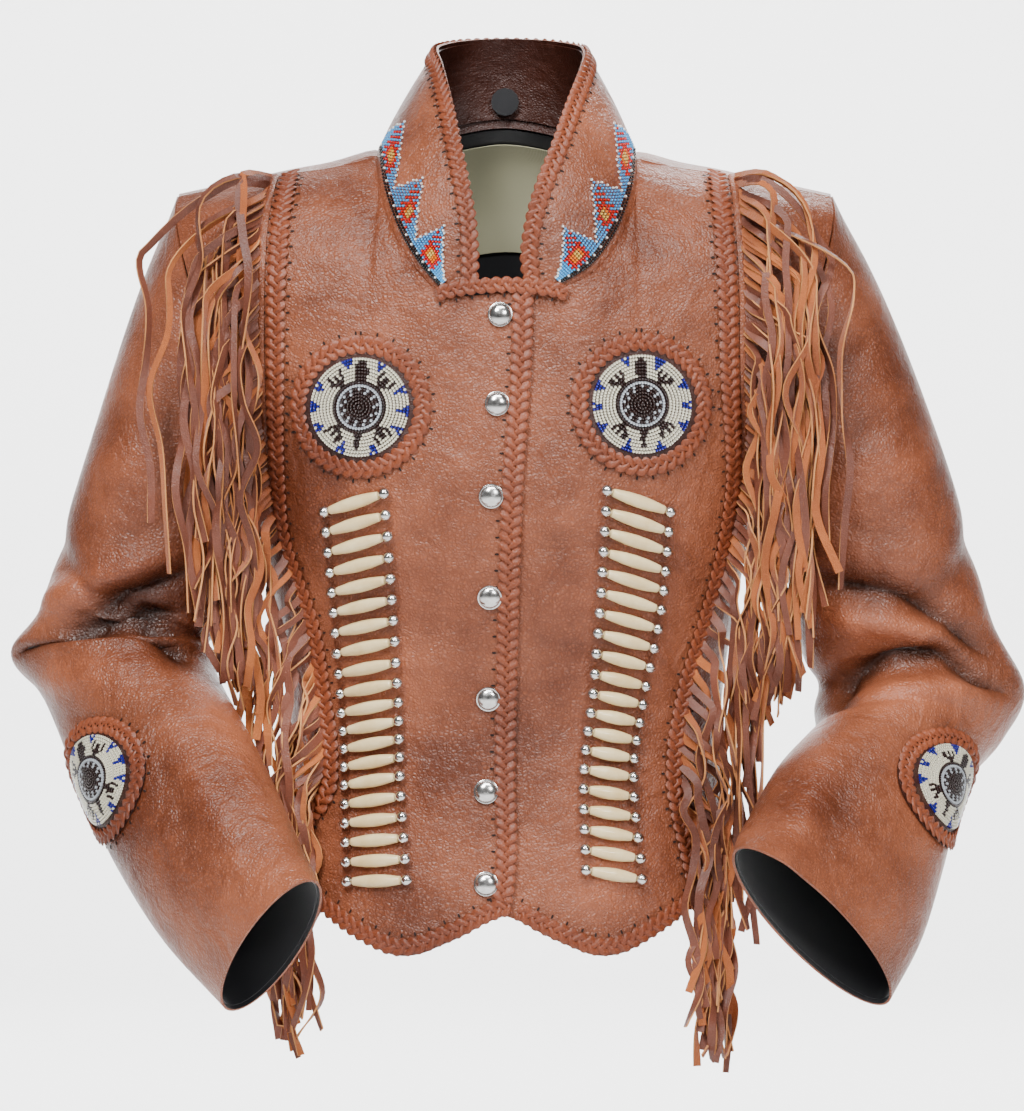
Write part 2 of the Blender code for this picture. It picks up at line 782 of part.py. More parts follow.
def seam_band(name, side, finish):
    """The plaited lacing centred on a princess seam."""
    front, flank = front_grid(side), side_grid(side)
    rows = np.arange(1, PANEL_ROWS + 1, dtype=float)
    half = BRAID_WIDTH / 2
    last = front.shape[0] - 1
    inner_span = np.linalg.norm(front[-1, 1:] - front[-2, 1:], axis=-1)
    outer_span = np.linalg.norm(flank[1, 1:] - flank[0, 1:], axis=-1)
    near, near_way = seat(front, last - half / inner_span, rows)
    far, far_way = seat(flank, half / outer_span, rows)
    middle, middle_way = seat(flank, np.zeros_like(rows), rows)
    front_edge, front_way = seat(front, np.full_like(rows, last), rows)
    middle = (middle + front_edge) / 2
    middle_way = middle_way + front_way
    middle_way = middle_way / np.linalg.norm(middle_way, axis=-1, keepdims=True)
    middle = middle + middle_way * 0.5 * MM
    ways = (near_way, middle_way, far_way)
    return band(name, (near, middle, far), ways, BRAID_THICK, finish, 1.4 * TRIM_CLEAR)


def turned(name, outline, steps, finish, place):
    """A turned piece: an outline of radius and height, top to bottom, spun about Z."""
    points = [(radius, 0.0, height) for radius, height in outline]
    edges = [(i, i + 1) for i in range(len(points) - 1)]
    mesh = bpy.data.meshes.new(name)
    mesh.from_pydata(points, edges, [])
    mesh.materials.append(finish)
    made = bpy.data.objects.new(name, mesh)
    bpy.data.collections["jacket"].objects.link(made)
    spin = made.modifiers.new("spin", "SCREW")
    spin.steps = steps
    spin.render_steps = steps
    spin.use_merge_vertices = True
    spin.merge_threshold = 0.00001
    made.matrix_world = place
    return made


def stand_on(point, normal):
    """A matrix that puts Z along a normal at a point."""
    turn = Vector(normal).to_track_quat("Z", "Y")
    return Matrix.Translation(Vector(point)) @ turn.to_matrix().to_4x4()


def chest_point(x, height, lift):
    """Point of the front at x and a height, moved out along the normal by lift."""
    x, height = np.broadcast_arrays(np.asarray(x, float), np.asarray(height, float))
    step = 1 * MM

    def at(px, pz):
        line = chart(np.abs(px), pz)
        point = torso(line[..., 0], line[..., 1])
        return np.stack([px, point[..., 1], pz], axis=-1)

    here = at(x, height)
    n = np.cross(at(x + step, height) - here, at(x, height + step) - here)
    n = n / np.linalg.norm(n, axis=-1, keepdims=True)
    return here + n * lift, n


def make_panels(leather):
    """Fronts, sides and back."""
    wall("front_right", front_grid(RIGHT), LEATHER, leather)
    wall("front_left", front_grid(LEFT), LEATHER, leather)
    wall("side_right", side_grid(RIGHT), LEATHER, leather)
    wall("side_left", side_grid(LEFT), LEATHER, leather)
    wall("back", back_grid(), LEATHER, leather)


def make_collar(leather, satin, cream):
    """Stand collar, its facing, the neck lining, the bare label and the bare round tab."""
    wall("collar", collar_grid(), LEATHER, leather)
    inset = LEATHER / 2 + SEAM_GAP + LINING / 2 + FACING_EASE
    facing = collar_grid(inset)
    for edge, cut in (("first", 2.0), ("last", 2.0), ("low", 4.0), ("high", 2.5)):
        facing = trimmed(facing, edge, cut * MM)
    wall("collar_facing", facing, LINING, leather)
    back = back_grid()
    middle = (back.shape[0] - 1) // 2
    reach = NECK_COLUMNS_BACK - 1
    pick = slice(middle - reach, middle + reach + 1)
    rows = slice(SIDE_SEAM_ROWS + 2, None)
    n = outward(back)[pick, rows]
    lining = back[pick, rows] - n * (LEATHER / 2 + 3 * SEAM_GAP + LINING / 2)
    lining = trimmed(lining, "high", 3 * MM)
    wall("neck_lining", lining, LINING, satin)
    last = lining.shape[1] - 1
    pick, rows = slice(reach - 2, reach + 3), slice(last - 3, last + 1)
    label = lining[pick, rows] - n[pick, rows] * (LINING + 3 * SEAM_GAP)
    wall("label", trimmed(label, "high", 5 * MM), LABEL, cream)
    middle = facing.shape[0] // 2
    way = -collar_out(facing)[middle, 0]
    point = facing[middle, 0] * 0.35 + facing[middle, 1] * 0.65 + way * (LINING / 2 + TAB_CLEAR)
    outline = ((0, 1.0 * MM), (TAB_RADIUS, 1.0 * MM), (TAB_RADIUS, 0), (0, 0))
    turned("size_tab", outline, 12, satin, stand_on(point, way))


def make_sleeves(leather, satin):
    """Sleeves and the lining that shows in each cuff."""
    for side, word in ((RIGHT, "right"), (LEFT, "left")):
        wall(f"sleeve_{word}", sleeve_grid(side), LEATHER, leather, wrap=True)
        inset = LEATHER / 2 + 2 * SEAM_GAP + LINING / 2
        lining = sleeve_grid(side, inset=inset)[-CUFF_LINING_ROWS:]
        lining = trimmed(lining, "last", 3 * MM)
        wall(f"cuff_lining_{word}", lining, LINING, satin, wrap=True)


def drape(out, height, layer):
    """Depth of the hanging fringe, straight between the drape table's own heights."""
    rows = np.array(DRAPE, float) * MM
    near = np.interp(height, rows[:, 0], rows[:, 1])
    far = np.interp(height, rows[:, 0], rows[:, 2])
    share = (out - FRINGE_NEAR) / (FRINGE_FAR - FRINGE_NEAR)
    return near * (1 - share) + far * share - layer * LAYER_STEP


def strand_path(root, away, column, tip, layer, side):
    """One strand: out of the strip at a slant, up to its layer, then straight down."""
    sag = min(0.5, -root[2] / (80 * MM))
    way = away + np.array([side * 1.2, -0.25, -sag])
    start = root + way / np.linalg.norm(way) * 5.5 * MM
    bend = start[2] - max((column - abs(start[0])) / SLANT, LEAST_DROP)
    rise = start * (1 - LIFT_SHARE) + np.array([side * column, 0.0, bend]) * LIFT_SHARE
    rise[1] = drape(abs(rise[0]), rise[2], layer)
    levels = [row[0] * MM for row in DRAPE][::-1]
    levels = [bend] + [level for level in levels if bend - 2 * MM > level > tip + 2 * MM] + [tip]
    hang = [np.array([side * column, drape(column, level, layer), level]) for level in levels]
    return np.array([root, start, rise] + hang)


def make_fringe(side, finish):
    """Fringe along one princess seam, cut from one strip, in layers that hang over each other."""
    word = "right" if side == RIGHT else "left"
    flank = side_grid(side)
    n = STRANDS_PER_SIDE
    first, last = PANEL_ROWS - 0.12, 1.9
    pitch = (first - last) / n
    inner_off, outer_off = 13.0 * MM, 18.0 * MM
    low = 1.7 * TRIM_CLEAR

    tops = first - pitch * np.arange(n)
    along = np.sort(np.concatenate([tops, tops - TOOTH * pitch]))[::-1]
    j = np.minimum(along.astype(int), PANEL_ROWS - 1)
    t = (along - j)[:, None]
    across = flank[1] - flank[0]
    span = np.linalg.norm(across[j] * (1 - t) + across[j + 1] * t, axis=-1)
    near, near_way = seat(flank, inner_off / span, along)
    far, far_way = seat(flank, outer_off / span, along)
    strip = np.stack(
        [
            near + near_way * low,
            far + far_way * low,
            far + far_way * (low + STRAND_THICK),
            near + near_way * (low + STRAND_THICK),
        ],
        axis=1,
    )
    points = list(strip.reshape(-1, 3))
    faces = [(0, 1, 2, 3), tuple(4 * (2 * n - 1) + k for k in (3, 2, 1, 0))]
    for k in range(2 * n - 1):
        a, b = 4 * k, 4 * (k + 1)
        for p, q in ((0, 1), (2, 3), (3, 0)):
            faces.append((a + p, b + p, b + q, a + q))
        if k % 2:
            faces.append((a + 1, b + 1, b + 2, a + 2))

    columns = COLUMNS_RIGHT if side == RIGHT else COLUMNS_LEFT
    ahead = np.array([0.0, -1.0, 0.0])
    for i in range(n):
        a, b = 8 * i, 8 * i + 4
        corners = [a + 1, b + 1, b + 2, a + 2]
        root = np.mean([points[c] for c in corners], axis=0)
        away = far[2 * i] - near[2 * i]
        away = away / np.linalg.norm(away)
        row = np.array(columns, float) * MM
        column = np.interp(i / (n - 1), row[:, 0] / MM, row[:, 1])
        tip = np.interp(i / (n - 1), row[:, 0] / MM, row[:, 2]) + TIP_VARIES * math.sin(2.3 * i) / 2
        path = strand_path(root, away, column, tip, (i * 2) % LAYERS, side)
        for k in range(1, len(path)):
            way = path[min(k + 1, len(path) - 1)] - path[k - 1]
            way = way / np.linalg.norm(way)
            wide = np.cross(way, ahead)
            wide = wide / np.linalg.norm(wide) * STRAND_WIDTH / 2 * -side
            thick = np.cross(way, wide)
            thick = thick / np.linalg.norm(thick) * STRAND_THICK / 2
            thick = thick * -np.sign(thick[1])
            start = len(points)
            points += [path[k] + wide - thick, path[k] - wide - thick]
            points += [path[k] - wide + thick, path[k] + wide + thick]
            fresh = list(range(start, start + 4))
            for p in range(4):
                q = (p + 1) % 4
                faces.append((corners[p], corners[q], fresh[q], fresh[p]))
            corners = fresh
        faces.append(tuple(corners))
    made = add_object(f"fringe_{word}", points, faces, finish)
    face_out(made)


def make_braids(finish):
    """Plaited lacing on the free edges and the princess seams."""
    right, left = front_grid(RIGHT), front_grid(LEFT)
    edge_band("braid_front_edge", right, EDGE_BRAID_WIDTH, finish, skip=1)
    hem_band("braid_hem_right", right, 0, right.shape[0] - 1, finish)
    hem_band("braid_hem_left", left, 2, left.shape[0] - 1, finish)
    seam_band("braid_seam_right", RIGHT, finish)
    seam_band("braid_seam_left", LEFT, finish)
    collar = collar_grid()
    top, below = collar[:, -1], collar[:, -2]
    way = collar_out(collar)[:, -1]
    inward = (below - top) / np.linalg.norm(below - top, axis=-1, keepdims=True)
    lower = top + inward * EDGE_BRAID_WIDTH
    band("braid_collar", (top, lower), (way, way), BRAID_THICK, finish, 1.8 * TRIM_CLEAR)


def make_snaps(finish):
    """Domed caps of the snaps down the front."""
    r, h = SNAP_DIAMETER / 2, SNAP_HEIGHT
    outline = ((0, h), (0.55 * r, 0.92 * h), (0.9 * r, 0.62 * h), (r, 0.3 * h), (0.93 * r, 0), (0, 0))
    for k, (x, height) in enumerate(SNAPS):
        point, normal = chest_point(x * MM, height * MM, TRIM_CLEAR + 0.3 * MM)
        turned(f"snap_{k + 1}", outline, 8, finish, stand_on(point, normal))


def make_pipes(finish):
    """Columns of hairpipes with a bead at each end, two rows on each lace."""
    sides = 4
    turn = (np.arange(sides) + 0.5) / sides * 2 * math.pi
    lift = TRIM_CLEAR + PIPE_RADIUS + 1.6 * MM
    for table, word in ((PIPES_RIGHT, "right"), (PIPES_LEFT, "left")):
        rows = through(table, np.arange(PIPE_ROWS)) * MM
        for pair in range(PIPE_ROWS // 2):
            path, radius = [], []
            for k in (0, 1):
                x0, z0, x1, z1 = rows[2 * pair + k]
                ends, _ = chest_point(np.array([x0, x1]), np.array([z0, z1]), lift)
                direction = (ends[1] - ends[0]) / np.linalg.norm(ends[1] - ends[0])
                start, end = ends[0] - direction * 4 * MM, ends[1] + direction * 4 * MM
                if k:
                    start, end = end, start
                for share, size in PIPE_OUTLINE:
                    path.append(start + (end - start) * share)
                    radius.append(size * PIPE_RADIUS)
            path, radius = np.array(path), np.array(radius)
            tangent = np.gradient(path, axis=0)
            tangent = tangent / np.linalg.norm(tangent, axis=-1, keepdims=True)
            fore = np.array([0.0, -1.0, 0.0]) - tangent * -tangent[:, 1:2]
            fore = fore / np.linalg.norm(fore, axis=-1, keepdims=True)
            up = np.cross(tangent, fore)
            ring = (
                path[:, None]
                + fore[:, None] * (radius[:, None] * np.cos(turn))[..., None]
                + up[:, None] * (radius[:, None] * np.sin(turn))[..., None]
            )
            closed_loft(f"hairpipes_{word}_{pair + 1:02d}", ring, finish)


def rosette_sections(place):
    """Rings of a rosette: the beaded disc with its shell inside the plaited ring."""
    disc, ring = ROSETTE_DISC_RADIUS, ROSETTE_RING_RADIUS
    rings = (
        (0.0, 3.6),
        (0.50 * disc, 3.0),
        (0.56 * disc, 2.0),
        (disc, 1.7),
        (disc + 2 * MM, 3.0),
        (ring - 3 * MM, 2.6),
        (ring, 0.6),
        (ring, 0.0),
        (0.67 * ring, 0.0),
        (0.33 * ring, 0.0),
        (0.0, 0.0),
    )
    return [(radius, place(radius, lift * MM)) for radius, lift in rings]


def make_rosette(name, place, finish):
    """A round patch whose rings follow the cloth below; place gives a ring at a radius and lift."""
    sections = rosette_sections(place)
    sides = len(sections[1][1])
    points = [sections[0][1][0]]
    for _, ring in sections[1:-1]:
        points.extend(ring)
    points.append(sections[-1][1][0])
    faces = [(0, 1 + k, 1 + (k + 1) % sides) for k in range(sides)]
    inner = len(sections) - 2
    for i in range(inner - 1):
        a, b = 1 + i * sides, 1 + (i + 1) * sides
        for k in range(sides):
            faces.append((a + k, b + k, b + (k + 1) % sides, a + (k + 1) % sides))
    last = 1 + (inner - 1) * sides
    faces += [(last + (k + 1) % sides, last + k, len(points) - 1) for k in range(sides)]
    made = add_object(name, points, faces, finish)
    face_out(made)


def make_rosettes(finish):
    """Two on the chest and two on the forearms."""
    sides = 15
    turn = np.arange(sides) / sides * 2 * math.pi
    clear = TRIM_CLEAR + 0.8 * MM
    for side, word in ((RIGHT, "right"), (LEFT, "left")):
        cx, cz = np.array(CHEST_ROSETTES[side]) * MM

        def chest(radius, lift, cx=cx, cz=cz):
            return chest_point(cx + radius * np.cos(turn), cz + radius * np.sin(turn), clear + lift)[0]

        make_rosette(f"rosette_chest_{word}", chest, finish)
        station, angle = SLEEVE_ROSETTES[side]
        grid = sleeve_grid(side)
        middle = grid.mean(axis=1, keepdims=True)
        n = normals(grid, wrap=True)
        n = n * np.sign(np.sum(n * (grid - middle), axis=-1, keepdims=True))
        shift = SLEEVE_SIDES // 2 - int(angle / 360 * SLEEVE_SIDES)
        grid, n = np.roll(grid, shift, axis=1), np.roll(n, shift, axis=1)
        across = np.interp(station, SLEEVE_STEPS, np.arange(len(SLEEVE_STEPS)))
        along = angle / 360 * SLEEVE_SIDES + shift
        i, j = int(across), int(along)
        step_across = np.linalg.norm(grid[i + 1, j] - grid[i, j])
        step_along = np.linalg.norm(grid[i, j + 1] - grid[i, j])

        def arm(radius, lift, grid=grid, n=n, at=(across, along), step=(step_across, step_along)):
            place = at[0] + radius * np.cos(turn) / step[0], at[1] + radius * np.sin(turn) / step[1]
            point, way = seat(grid, place[0], place[1], n)
            return point + way * (clear + 0.7 * MM + lift)

        make_rosette(f"rosette_sleeve_{word}", arm, finish)


def make_bead_strips(finish):
    """Beaded strips on the two front parts of the collar."""
    collar = collar_grid()
    n = collar_out(collar)
    last = collar.shape[0] - 1
    for word, first in (("right", 1), ("left", last - 6)):
        columns = np.arange(first, first + 6, dtype=float)
        top = np.array(BEAD_STRIP_TOP if word == "right" else BEAD_STRIP_TOP[::-1])
        rows = (np.full(6, BEAD_STRIP_FOOT), np.ones(6), top)
        seats = [seat(collar, columns, row, n) for row in rows]
        lines, ways = zip(*seats)
        band(f"bead_strip_{word}", lines, ways, BEAD_STRIP_THICK, finish)


def main():
    for old in list(bpy.data.objects):
        bpy.data.objects.remove(old, do_unlink=True)
    new_collection("jacket")
    leather = material("leather", LEATHER_BROWN, 0.45)
    braid = material("braid", BRAID_BROWN, 0.5)
    suede = material("suede", SUEDE_TAN, 0.9)
    satin = material("satin", SATIN_BLACK, 0.35)
    cream = material("cream", CREAM, 0.8)
    bone = material("bone", BONE, 0.35)
    silver = material("silver", SILVER, 0.25, 1.0)
    beads = material("beads", BEAD_BLUE, 0.3)
    make_panels(leather)
    make_collar(leather, satin, cream)
    make_sleeves(leather, satin)
    make_braids(braid)
    make_snaps(silver)
    make_pipes(bone)
    make_rosettes(beads)
    make_bead_strips(beads)
    for side in (RIGHT, LEFT):
        make_fringe(side, suede)


main()
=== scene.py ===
# %% [markdown]
# A fringed western jacket in brown leather, worn and filled out, with nobody in it.
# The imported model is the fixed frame: it gives every size and place. This script dresses it
# with thin shells of leather, plaited lacing, fringe, beads, bone tubes and snaps.

import math

import bmesh
import bpy
import numpy as np
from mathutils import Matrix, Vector


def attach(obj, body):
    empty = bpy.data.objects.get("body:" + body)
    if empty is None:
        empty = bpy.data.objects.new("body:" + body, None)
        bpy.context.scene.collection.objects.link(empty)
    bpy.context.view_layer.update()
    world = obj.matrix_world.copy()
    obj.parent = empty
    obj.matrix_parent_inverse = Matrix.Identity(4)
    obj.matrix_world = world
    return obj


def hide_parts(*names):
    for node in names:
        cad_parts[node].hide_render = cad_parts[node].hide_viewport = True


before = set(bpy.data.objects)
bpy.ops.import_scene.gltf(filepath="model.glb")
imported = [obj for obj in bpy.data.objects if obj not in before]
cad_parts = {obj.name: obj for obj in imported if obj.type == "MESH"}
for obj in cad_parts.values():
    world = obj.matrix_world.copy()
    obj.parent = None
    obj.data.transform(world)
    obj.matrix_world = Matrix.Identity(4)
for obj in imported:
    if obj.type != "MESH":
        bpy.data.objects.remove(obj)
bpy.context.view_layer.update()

# %% [markdown]
# The camera stands 3 m in front, level, where the photograph was taken from. A long lens keeps
# the sleeves from growing towards the edges. The frame is 1024 by 1111 pixels, and Blender's
# sensor lies along the longer side, so the focal length in pixels is turned into millimetres there.

# %% Camera
EYE = (0.005, -3.0, -0.27)
FOCAL_PIXELS = 4285.7
SENSOR = 36.0
PICTURE_HEIGHT = 1111
lens_data = bpy.data.cameras.new("studio_camera")
lens_data.sensor_fit = "AUTO"
lens_data.sensor_width = SENSOR
lens_data.lens = FOCAL_PIXELS * SENSOR / PICTURE_HEIGHT
lens_data.clip_start = 0.1
camera = bpy.data.objects.new("studio_camera", lens_data)
camera.location = EYE
camera.rotation_euler = (math.pi / 2, 0, 0)
bpy.context.scene.collection.objects.link(camera)
bpy.context.scene.camera = camera
print("lens, mm:", round(lens_data.lens, 2))

# %% [markdown]
# A pale floor that sweeps up far behind the jacket gives one even ground with no horizon. A key
# lamp on the left, a long strip above, a fill on the right and a lamp behind light the jacket from
# all round, and two more light only the paper.

# %% Floor and lamps
FLOOR_HEIGHT = -0.95
sweep_turn = np.linspace(0, math.pi / 2, 13)
sweep_y = np.concatenate([[-6.0], 3.8 + np.sin(sweep_turn), [4.8]])
sweep_z = np.concatenate([[0.0], 1 - np.cos(sweep_turn), [6.0]]) + FLOOR_HEIGHT
sweep_x = np.array([-6.0, 6.0])
sweep = np.stack(
    [
        np.repeat(sweep_x[:, None], len(sweep_y), axis=1),
        np.repeat(sweep_y[None], 2, axis=0),
        np.repeat(sweep_z[None], 2, axis=0),
    ],
    axis=-1,
)
floor_mesh = bpy.data.meshes.new("studio_floor")
count = len(sweep_y)
floor_mesh.from_pydata(
    sweep.reshape(-1, 3).tolist(), [], [(i, count + i, count + i + 1, i + 1) for i in range(count - 1)]
)
floor_mesh.polygons.foreach_set("use_smooth", [True] * len(floor_mesh.polygons))
floor = bpy.data.objects.new("studio_floor", floor_mesh)
bpy.context.scene.collection.objects.link(floor)
floor_paint = bpy.data.materials.new("pale_paper")
floor_paint.use_nodes = True
floor_paint.node_tree.nodes["Principled BSDF"].inputs["Base Color"].default_value = (0.95, 0.95, 0.95, 1)
floor_paint.node_tree.nodes["Principled BSDF"].inputs["Roughness"].default_value = 0.9
floor_mesh.materials.append(floor_paint)

# Place, width and height of the lamp, power
LAMPS = {
    "key": ((-0.9, -2.1, 1.5), 0.6, 0.6, 70),
    "strip": ((0.1, -1.5, 2.0), 1.9, 0.4, 80),
    "fill": ((1.2, -2.3, 0.8), 0.6, 0.6, 34),
    "rear": ((0.7, 2.1, 1.9), 1.2, 0.8, 42),
    "backdrop_left": ((-1.7, 1.8, 1.4), 1.5, 1.5, 250),
    "backdrop_right": ((1.7, 1.8, 1.4), 1.5, 1.5, 250),
}
AIMS = {"backdrop_left": (-0.5, 4.8, -0.1), "backdrop_right": (0.5, 4.8, -0.1)}
for lamp_name, (spot, breadth, depth, power) in LAMPS.items():
    lamp_data = bpy.data.lights.new(lamp_name, "AREA")
    lamp_data.shape = "RECTANGLE"
    lamp_data.size = breadth
    lamp_data.size_y = depth
    lamp_data.energy = power
    lamp = bpy.data.objects.new(lamp_name, lamp_data)
    lamp.location = spot
    aim = Vector(AIMS.get(lamp_name, (0, 0, -0.25))) - Vector(spot)
    lamp.rotation_euler = aim.to_track_quat("-Z", "Y").to_euler()
    bpy.context.scene.collection.objects.link(lamp)
world = bpy.data.worlds.new("studio_air")
world.use_nodes = True
world.node_tree.nodes["Background"].inputs["Color"].default_value = (1, 1, 1, 1)
world.node_tree.nodes["Background"].inputs["Strength"].default_value = 0.14
bpy.context.scene.world = world
print("lamps:", len(LAMPS))

# %% [markdown]
# The jacket is measured in millimetres at a few heights, as a pattern cutter measures a form.
# These are the tables the solids were made from, so the leather lies where the frame has it.

# %% Sizes of the jacket
MM = 0.001
RIGHT, LEFT = -1, 1
SIDES = {"right": RIGHT, "left": LEFT}
LEATHER = 1.6 * MM
LINING = 1.0 * MM
SEAM_GAP = 0.3 * MM
ARMHOLE_CLEAR = SEAM_GAP + LEATHER
SHOULDER_CUT = 0.45 * MM
SHOULDER_SEAM_TURN = 0.40
SECTION_POWER = 2.3
UNDERLAP = 30.0 * MM
ARMHOLE_ROWS = 10
SIDE_SEAM_ROWS = 6
PANEL_ROWS = ARMHOLE_ROWS + SIDE_SEAM_ROWS
SHOULDER_COLUMNS = 2
ARM_COLUMNS = 4
NECK_COLUMNS_FRONT = 6
NECK_COLUMNS_BACK = 4
SLEEVE_SIDES = 2 * ARMHOLE_ROWS

# Torso sections: height, half width, depth of the front, depth of the back
TORSO = (
    (-600, 169, 112, 108),
    (-540, 165, 109, 105),
    (-500, 160, 106, 101),
    (-440, 153, 100, 94),
    (-385, 150, 97, 90),
    (-320, 158, 106, 94),
    (-260, 170, 116, 98),
    (-222, 178, 120, 101),
    (-205, 184, 120, 103),
    (-165, 205, 119, 105),
    (-110, 228, 116, 106),
    (-59, 245, 112, 106),
    (-20, 262, 108, 104),
    (90, 290, 104, 100),
)

# Shoulder ridge: out, height, drop over which the front turns down, same for the back
SHOULDER = (
    (-50, 47, 136, 96),
    (0, 68, 140, 98),
    (50, 47, 136, 96),
    (88, 15, 122, 92),
    (140, 2, 90, 90),
    (190, -9, 72, 72),
    (228, -17, 62, 62),
    (270, -26, 56, 56),
)

# Armhole, from the shoulder seam to the underarm: share, side angle, turn in radians
ARMHOLE_FRONT = (
    (0.00, 58.0, SHOULDER_SEAM_TURN),
    (0.20, 63.0, 1.21),
    (0.45, 64.0, 2.02),
    (0.70, 66.5, 2.74),
    (0.88, 74.0, 3.15),
    (1.00, 90.0, 3.334),
)
ARMHOLE_BACK = (
    (0.00, 58.0, SHOULDER_SEAM_TURN),
    (0.14, 58.5, -0.35),
    (0.30, 62.0, -1.15),
    (0.50, 64.0, -2.02),
    (0.72, 67.0, -2.74),
    (0.89, 75.0, -3.15),
    (1.00, 90.0, -3.334),
)

# Princess seam: height, out on the right, out on the left
PRINCESS = (
    (-505, 136, 131),
    (-450, 133, 119),
    (-435, 122, 116),
    (-400, 119, 116),
    (-370, 123, 121),
    (-315, 131, 136),
    (-265, 148, 148),
    (-215, 154, 155),
    (-150, 155, 152),
    (-75, 154, 150),
    (-40, 152, 148),
    (20, 143, 144),
)

# Front hem: out, height
HEM = (
    (-40, -513),
    (0, -513),
    (35, -530),
    (70, -541),
    (100, -529),
    (136, -505),
    (145, -501),
)

# Neckline, front end to centre back: share, out on the right, out on the left, turn in degrees
NECKLINE = (
    (0.00, 34, 28, 95.5),
    (0.12, 46, 41, 91.5),
    (0.24, 58, 59, 84.0),
    (0.36, 69, 72, 74.0),
    (0.48, 78, 82, 62.0),
    (0.60, 85, 89, 46.0),
    (0.72, 88, 91, math.degrees(SHOULDER_SEAM_TURN)),
    (0.79, 86, 88, -4.0),
    (0.86, 72, 74, -22.0),
    (0.93, 42, 43, -38.0),
    (1.00, 0, 0, -45.0),
    (1.07, -42, -43, -38.0),
)

# Free edge of the collar: share, out on the right, out on the left, y, height
COLLAR_EDGE = (
    (0.00, 19, 14, -114, -88),
    (0.12, 19, 12, -113, -64),
    (0.24, 21, 16, -110, -38),
    (0.36, 25, 23, -103, -14),
    (0.48, 30, 33, -90, 12),
    (0.60, 36, 43, -68, 42),
    (0.72, 43, 53, -36, 70),
    (0.79, 47, 55, -6, 83),
    (0.86, 44, 50, 28, 91),
    (0.93, 26, 28, 52, 97),
    (1.00, 0, 0, 60, 99),
    (1.07, -26, -28, 52, 97),
)

# Free edge of the right front, which lies over the left one: height, x
FRONT_EDGE = (
    (-520, 2),
    (-505, 4),
    (-490, 6.5),
    (-410, 7),
    (-320, 9),
    (-230, 12),
    (-120, 19),
    (-60, 19),
)

# Sleeve sections from shoulder to cuff: outer line x y z, inner line x y z, half depth
SLEEVE_RIGHT = (
    (246, 2, -62, 190, 0, -226, 62),
    (262, 2, -105, 192, 0, -243, 62),
    (280, 2, -161, 194, 0, -264, 61),
    (297, 4, -216, 195, -1, -286, 59),
    (313, 10, -266, 198, -5, -308, 57),
    (323, 15, -308, 204, -12, -324, 55),
    (344, 18, -342, 207, -18, -332, 55),
    (323, 10, -368, 206, -32, -342, 52),
    (306, -6, -398, 198, -56, -357, 50),
    (284, -42, -440, 178, -104, -388, 46),
    (257, -80, -486, 158, -146, -424, 41),
    (222, -114, -532, 141, -186, -458, 35),
    (179, -142, -573, 128, -222, -481, 28),
)
SLEEVE_LEFT = (
    (251, 2, -62, 191, 0, -226, 62),
    (271, 2, -105, 193, 0, -243, 62),
    (293, 2, -161, 196, 0, -264, 61),
    (312, 4, -216, 199, -1, -286, 59),
    (327, 9, -266, 203, -4, -313, 57),
    (341, 14, -318, 211, -9, -343, 55),
    (363, 18, -365, 220, -14, -365, 52),
    (347, 8, -401, 219, -40, -385, 49),
    (324, -10, -425, 210, -62, -391, 50),
    (306, -42, -454, 188, -106, -410, 46),
    (293, -80, -491, 168, -146, -438, 41),
    (276, -114, -533, 157, -184, -453, 33),
    (253, -142, -569, 153, -216, -460, 26),
)
SLEEVE_STEPS = (0, 0.5, 1, 2, 3, 4, 5, 5.5, 6, 6.5, 7, 7.5, 8, 8.5, 9, 10, 11, 12, 13)

# Sleeve folds: station, middle angle, spread of angle, depth, breadth in stations, slant per radian
SLEEVE_FOLDS = (
    (5.35, 55, 70, -7, 0.33, 0.55),
    (6.60, 90, 60, -3, 0.50, 0.00),
    (7.65, 95, 70, 4, 0.45, 0.20),
    (6.30, 250, 70, -6, 0.40, -0.30),
    (7.10, 240, 70, 5, 0.42, -0.30),
)

# %% [markdown]
# Cloth round a body is a smooth form, so every table row is joined by a smooth curve. A Hermite
# curve passes through the rows and has no corners, which spline fitting by hand would give.

# %% Smooth curves and the body form
def through(rows, at):
    """Smooth curve through a table's rows, whose first column is the parameter."""
    rows = np.asarray(rows, dtype=float)
    knots, values = rows[:, 0], rows[:, 1:]
    slopes = np.gradient(values, knots, axis=0)
    at = np.clip(np.asarray(at, dtype=float), knots[0], knots[-1])
    low = np.clip(np.searchsorted(knots, at, side="right") - 1, 0, len(knots) - 2)
    width = (knots[low + 1] - knots[low])[..., None]
    s = (at - knots[low])[..., None] / width
    start, end = values[low], values[low + 1]
    run_in, run_out = slopes[low] * width, slopes[low + 1] * width
    return (
        (2 * s**3 - 3 * s**2 + 1) * start
        + (s**3 - 2 * s**2 + s) * run_in
        + (3 * s**2 - 2 * s**3) * end
        + (s**3 - s**2) * run_out
    )


def ease(low, high, value):
    """Rises smoothly from 0 at low to 1 at high."""
    t = np.clip((np.asarray(value, dtype=float) - low) / (high - low), 0.0, 1.0)
    return t * t * (3 - 2 * t)


def torso_section(height):
    """Half width, front depth and back depth at a height."""
    rows = through(TORSO, np.asarray(height) / MM) * MM
    return rows[..., 0], rows[..., 1], rows[..., 2]


def shoulder(out, turn):
    """Ridge height and the drop of the turn, for the front where turn is above 0."""
    rows = through(SHOULDER, np.abs(out) / MM) * MM
    return rows[..., 0], np.where(np.asarray(turn) > 0, rows[..., 1], rows[..., 2])


def drop_below_ridge(turn, depth):
    """A quarter round at the shoulder, then straight down."""
    size = np.abs(turn)
    return depth * np.where(size < math.pi / 2, 1 - np.cos(size), 1 + size - math.pi / 2)


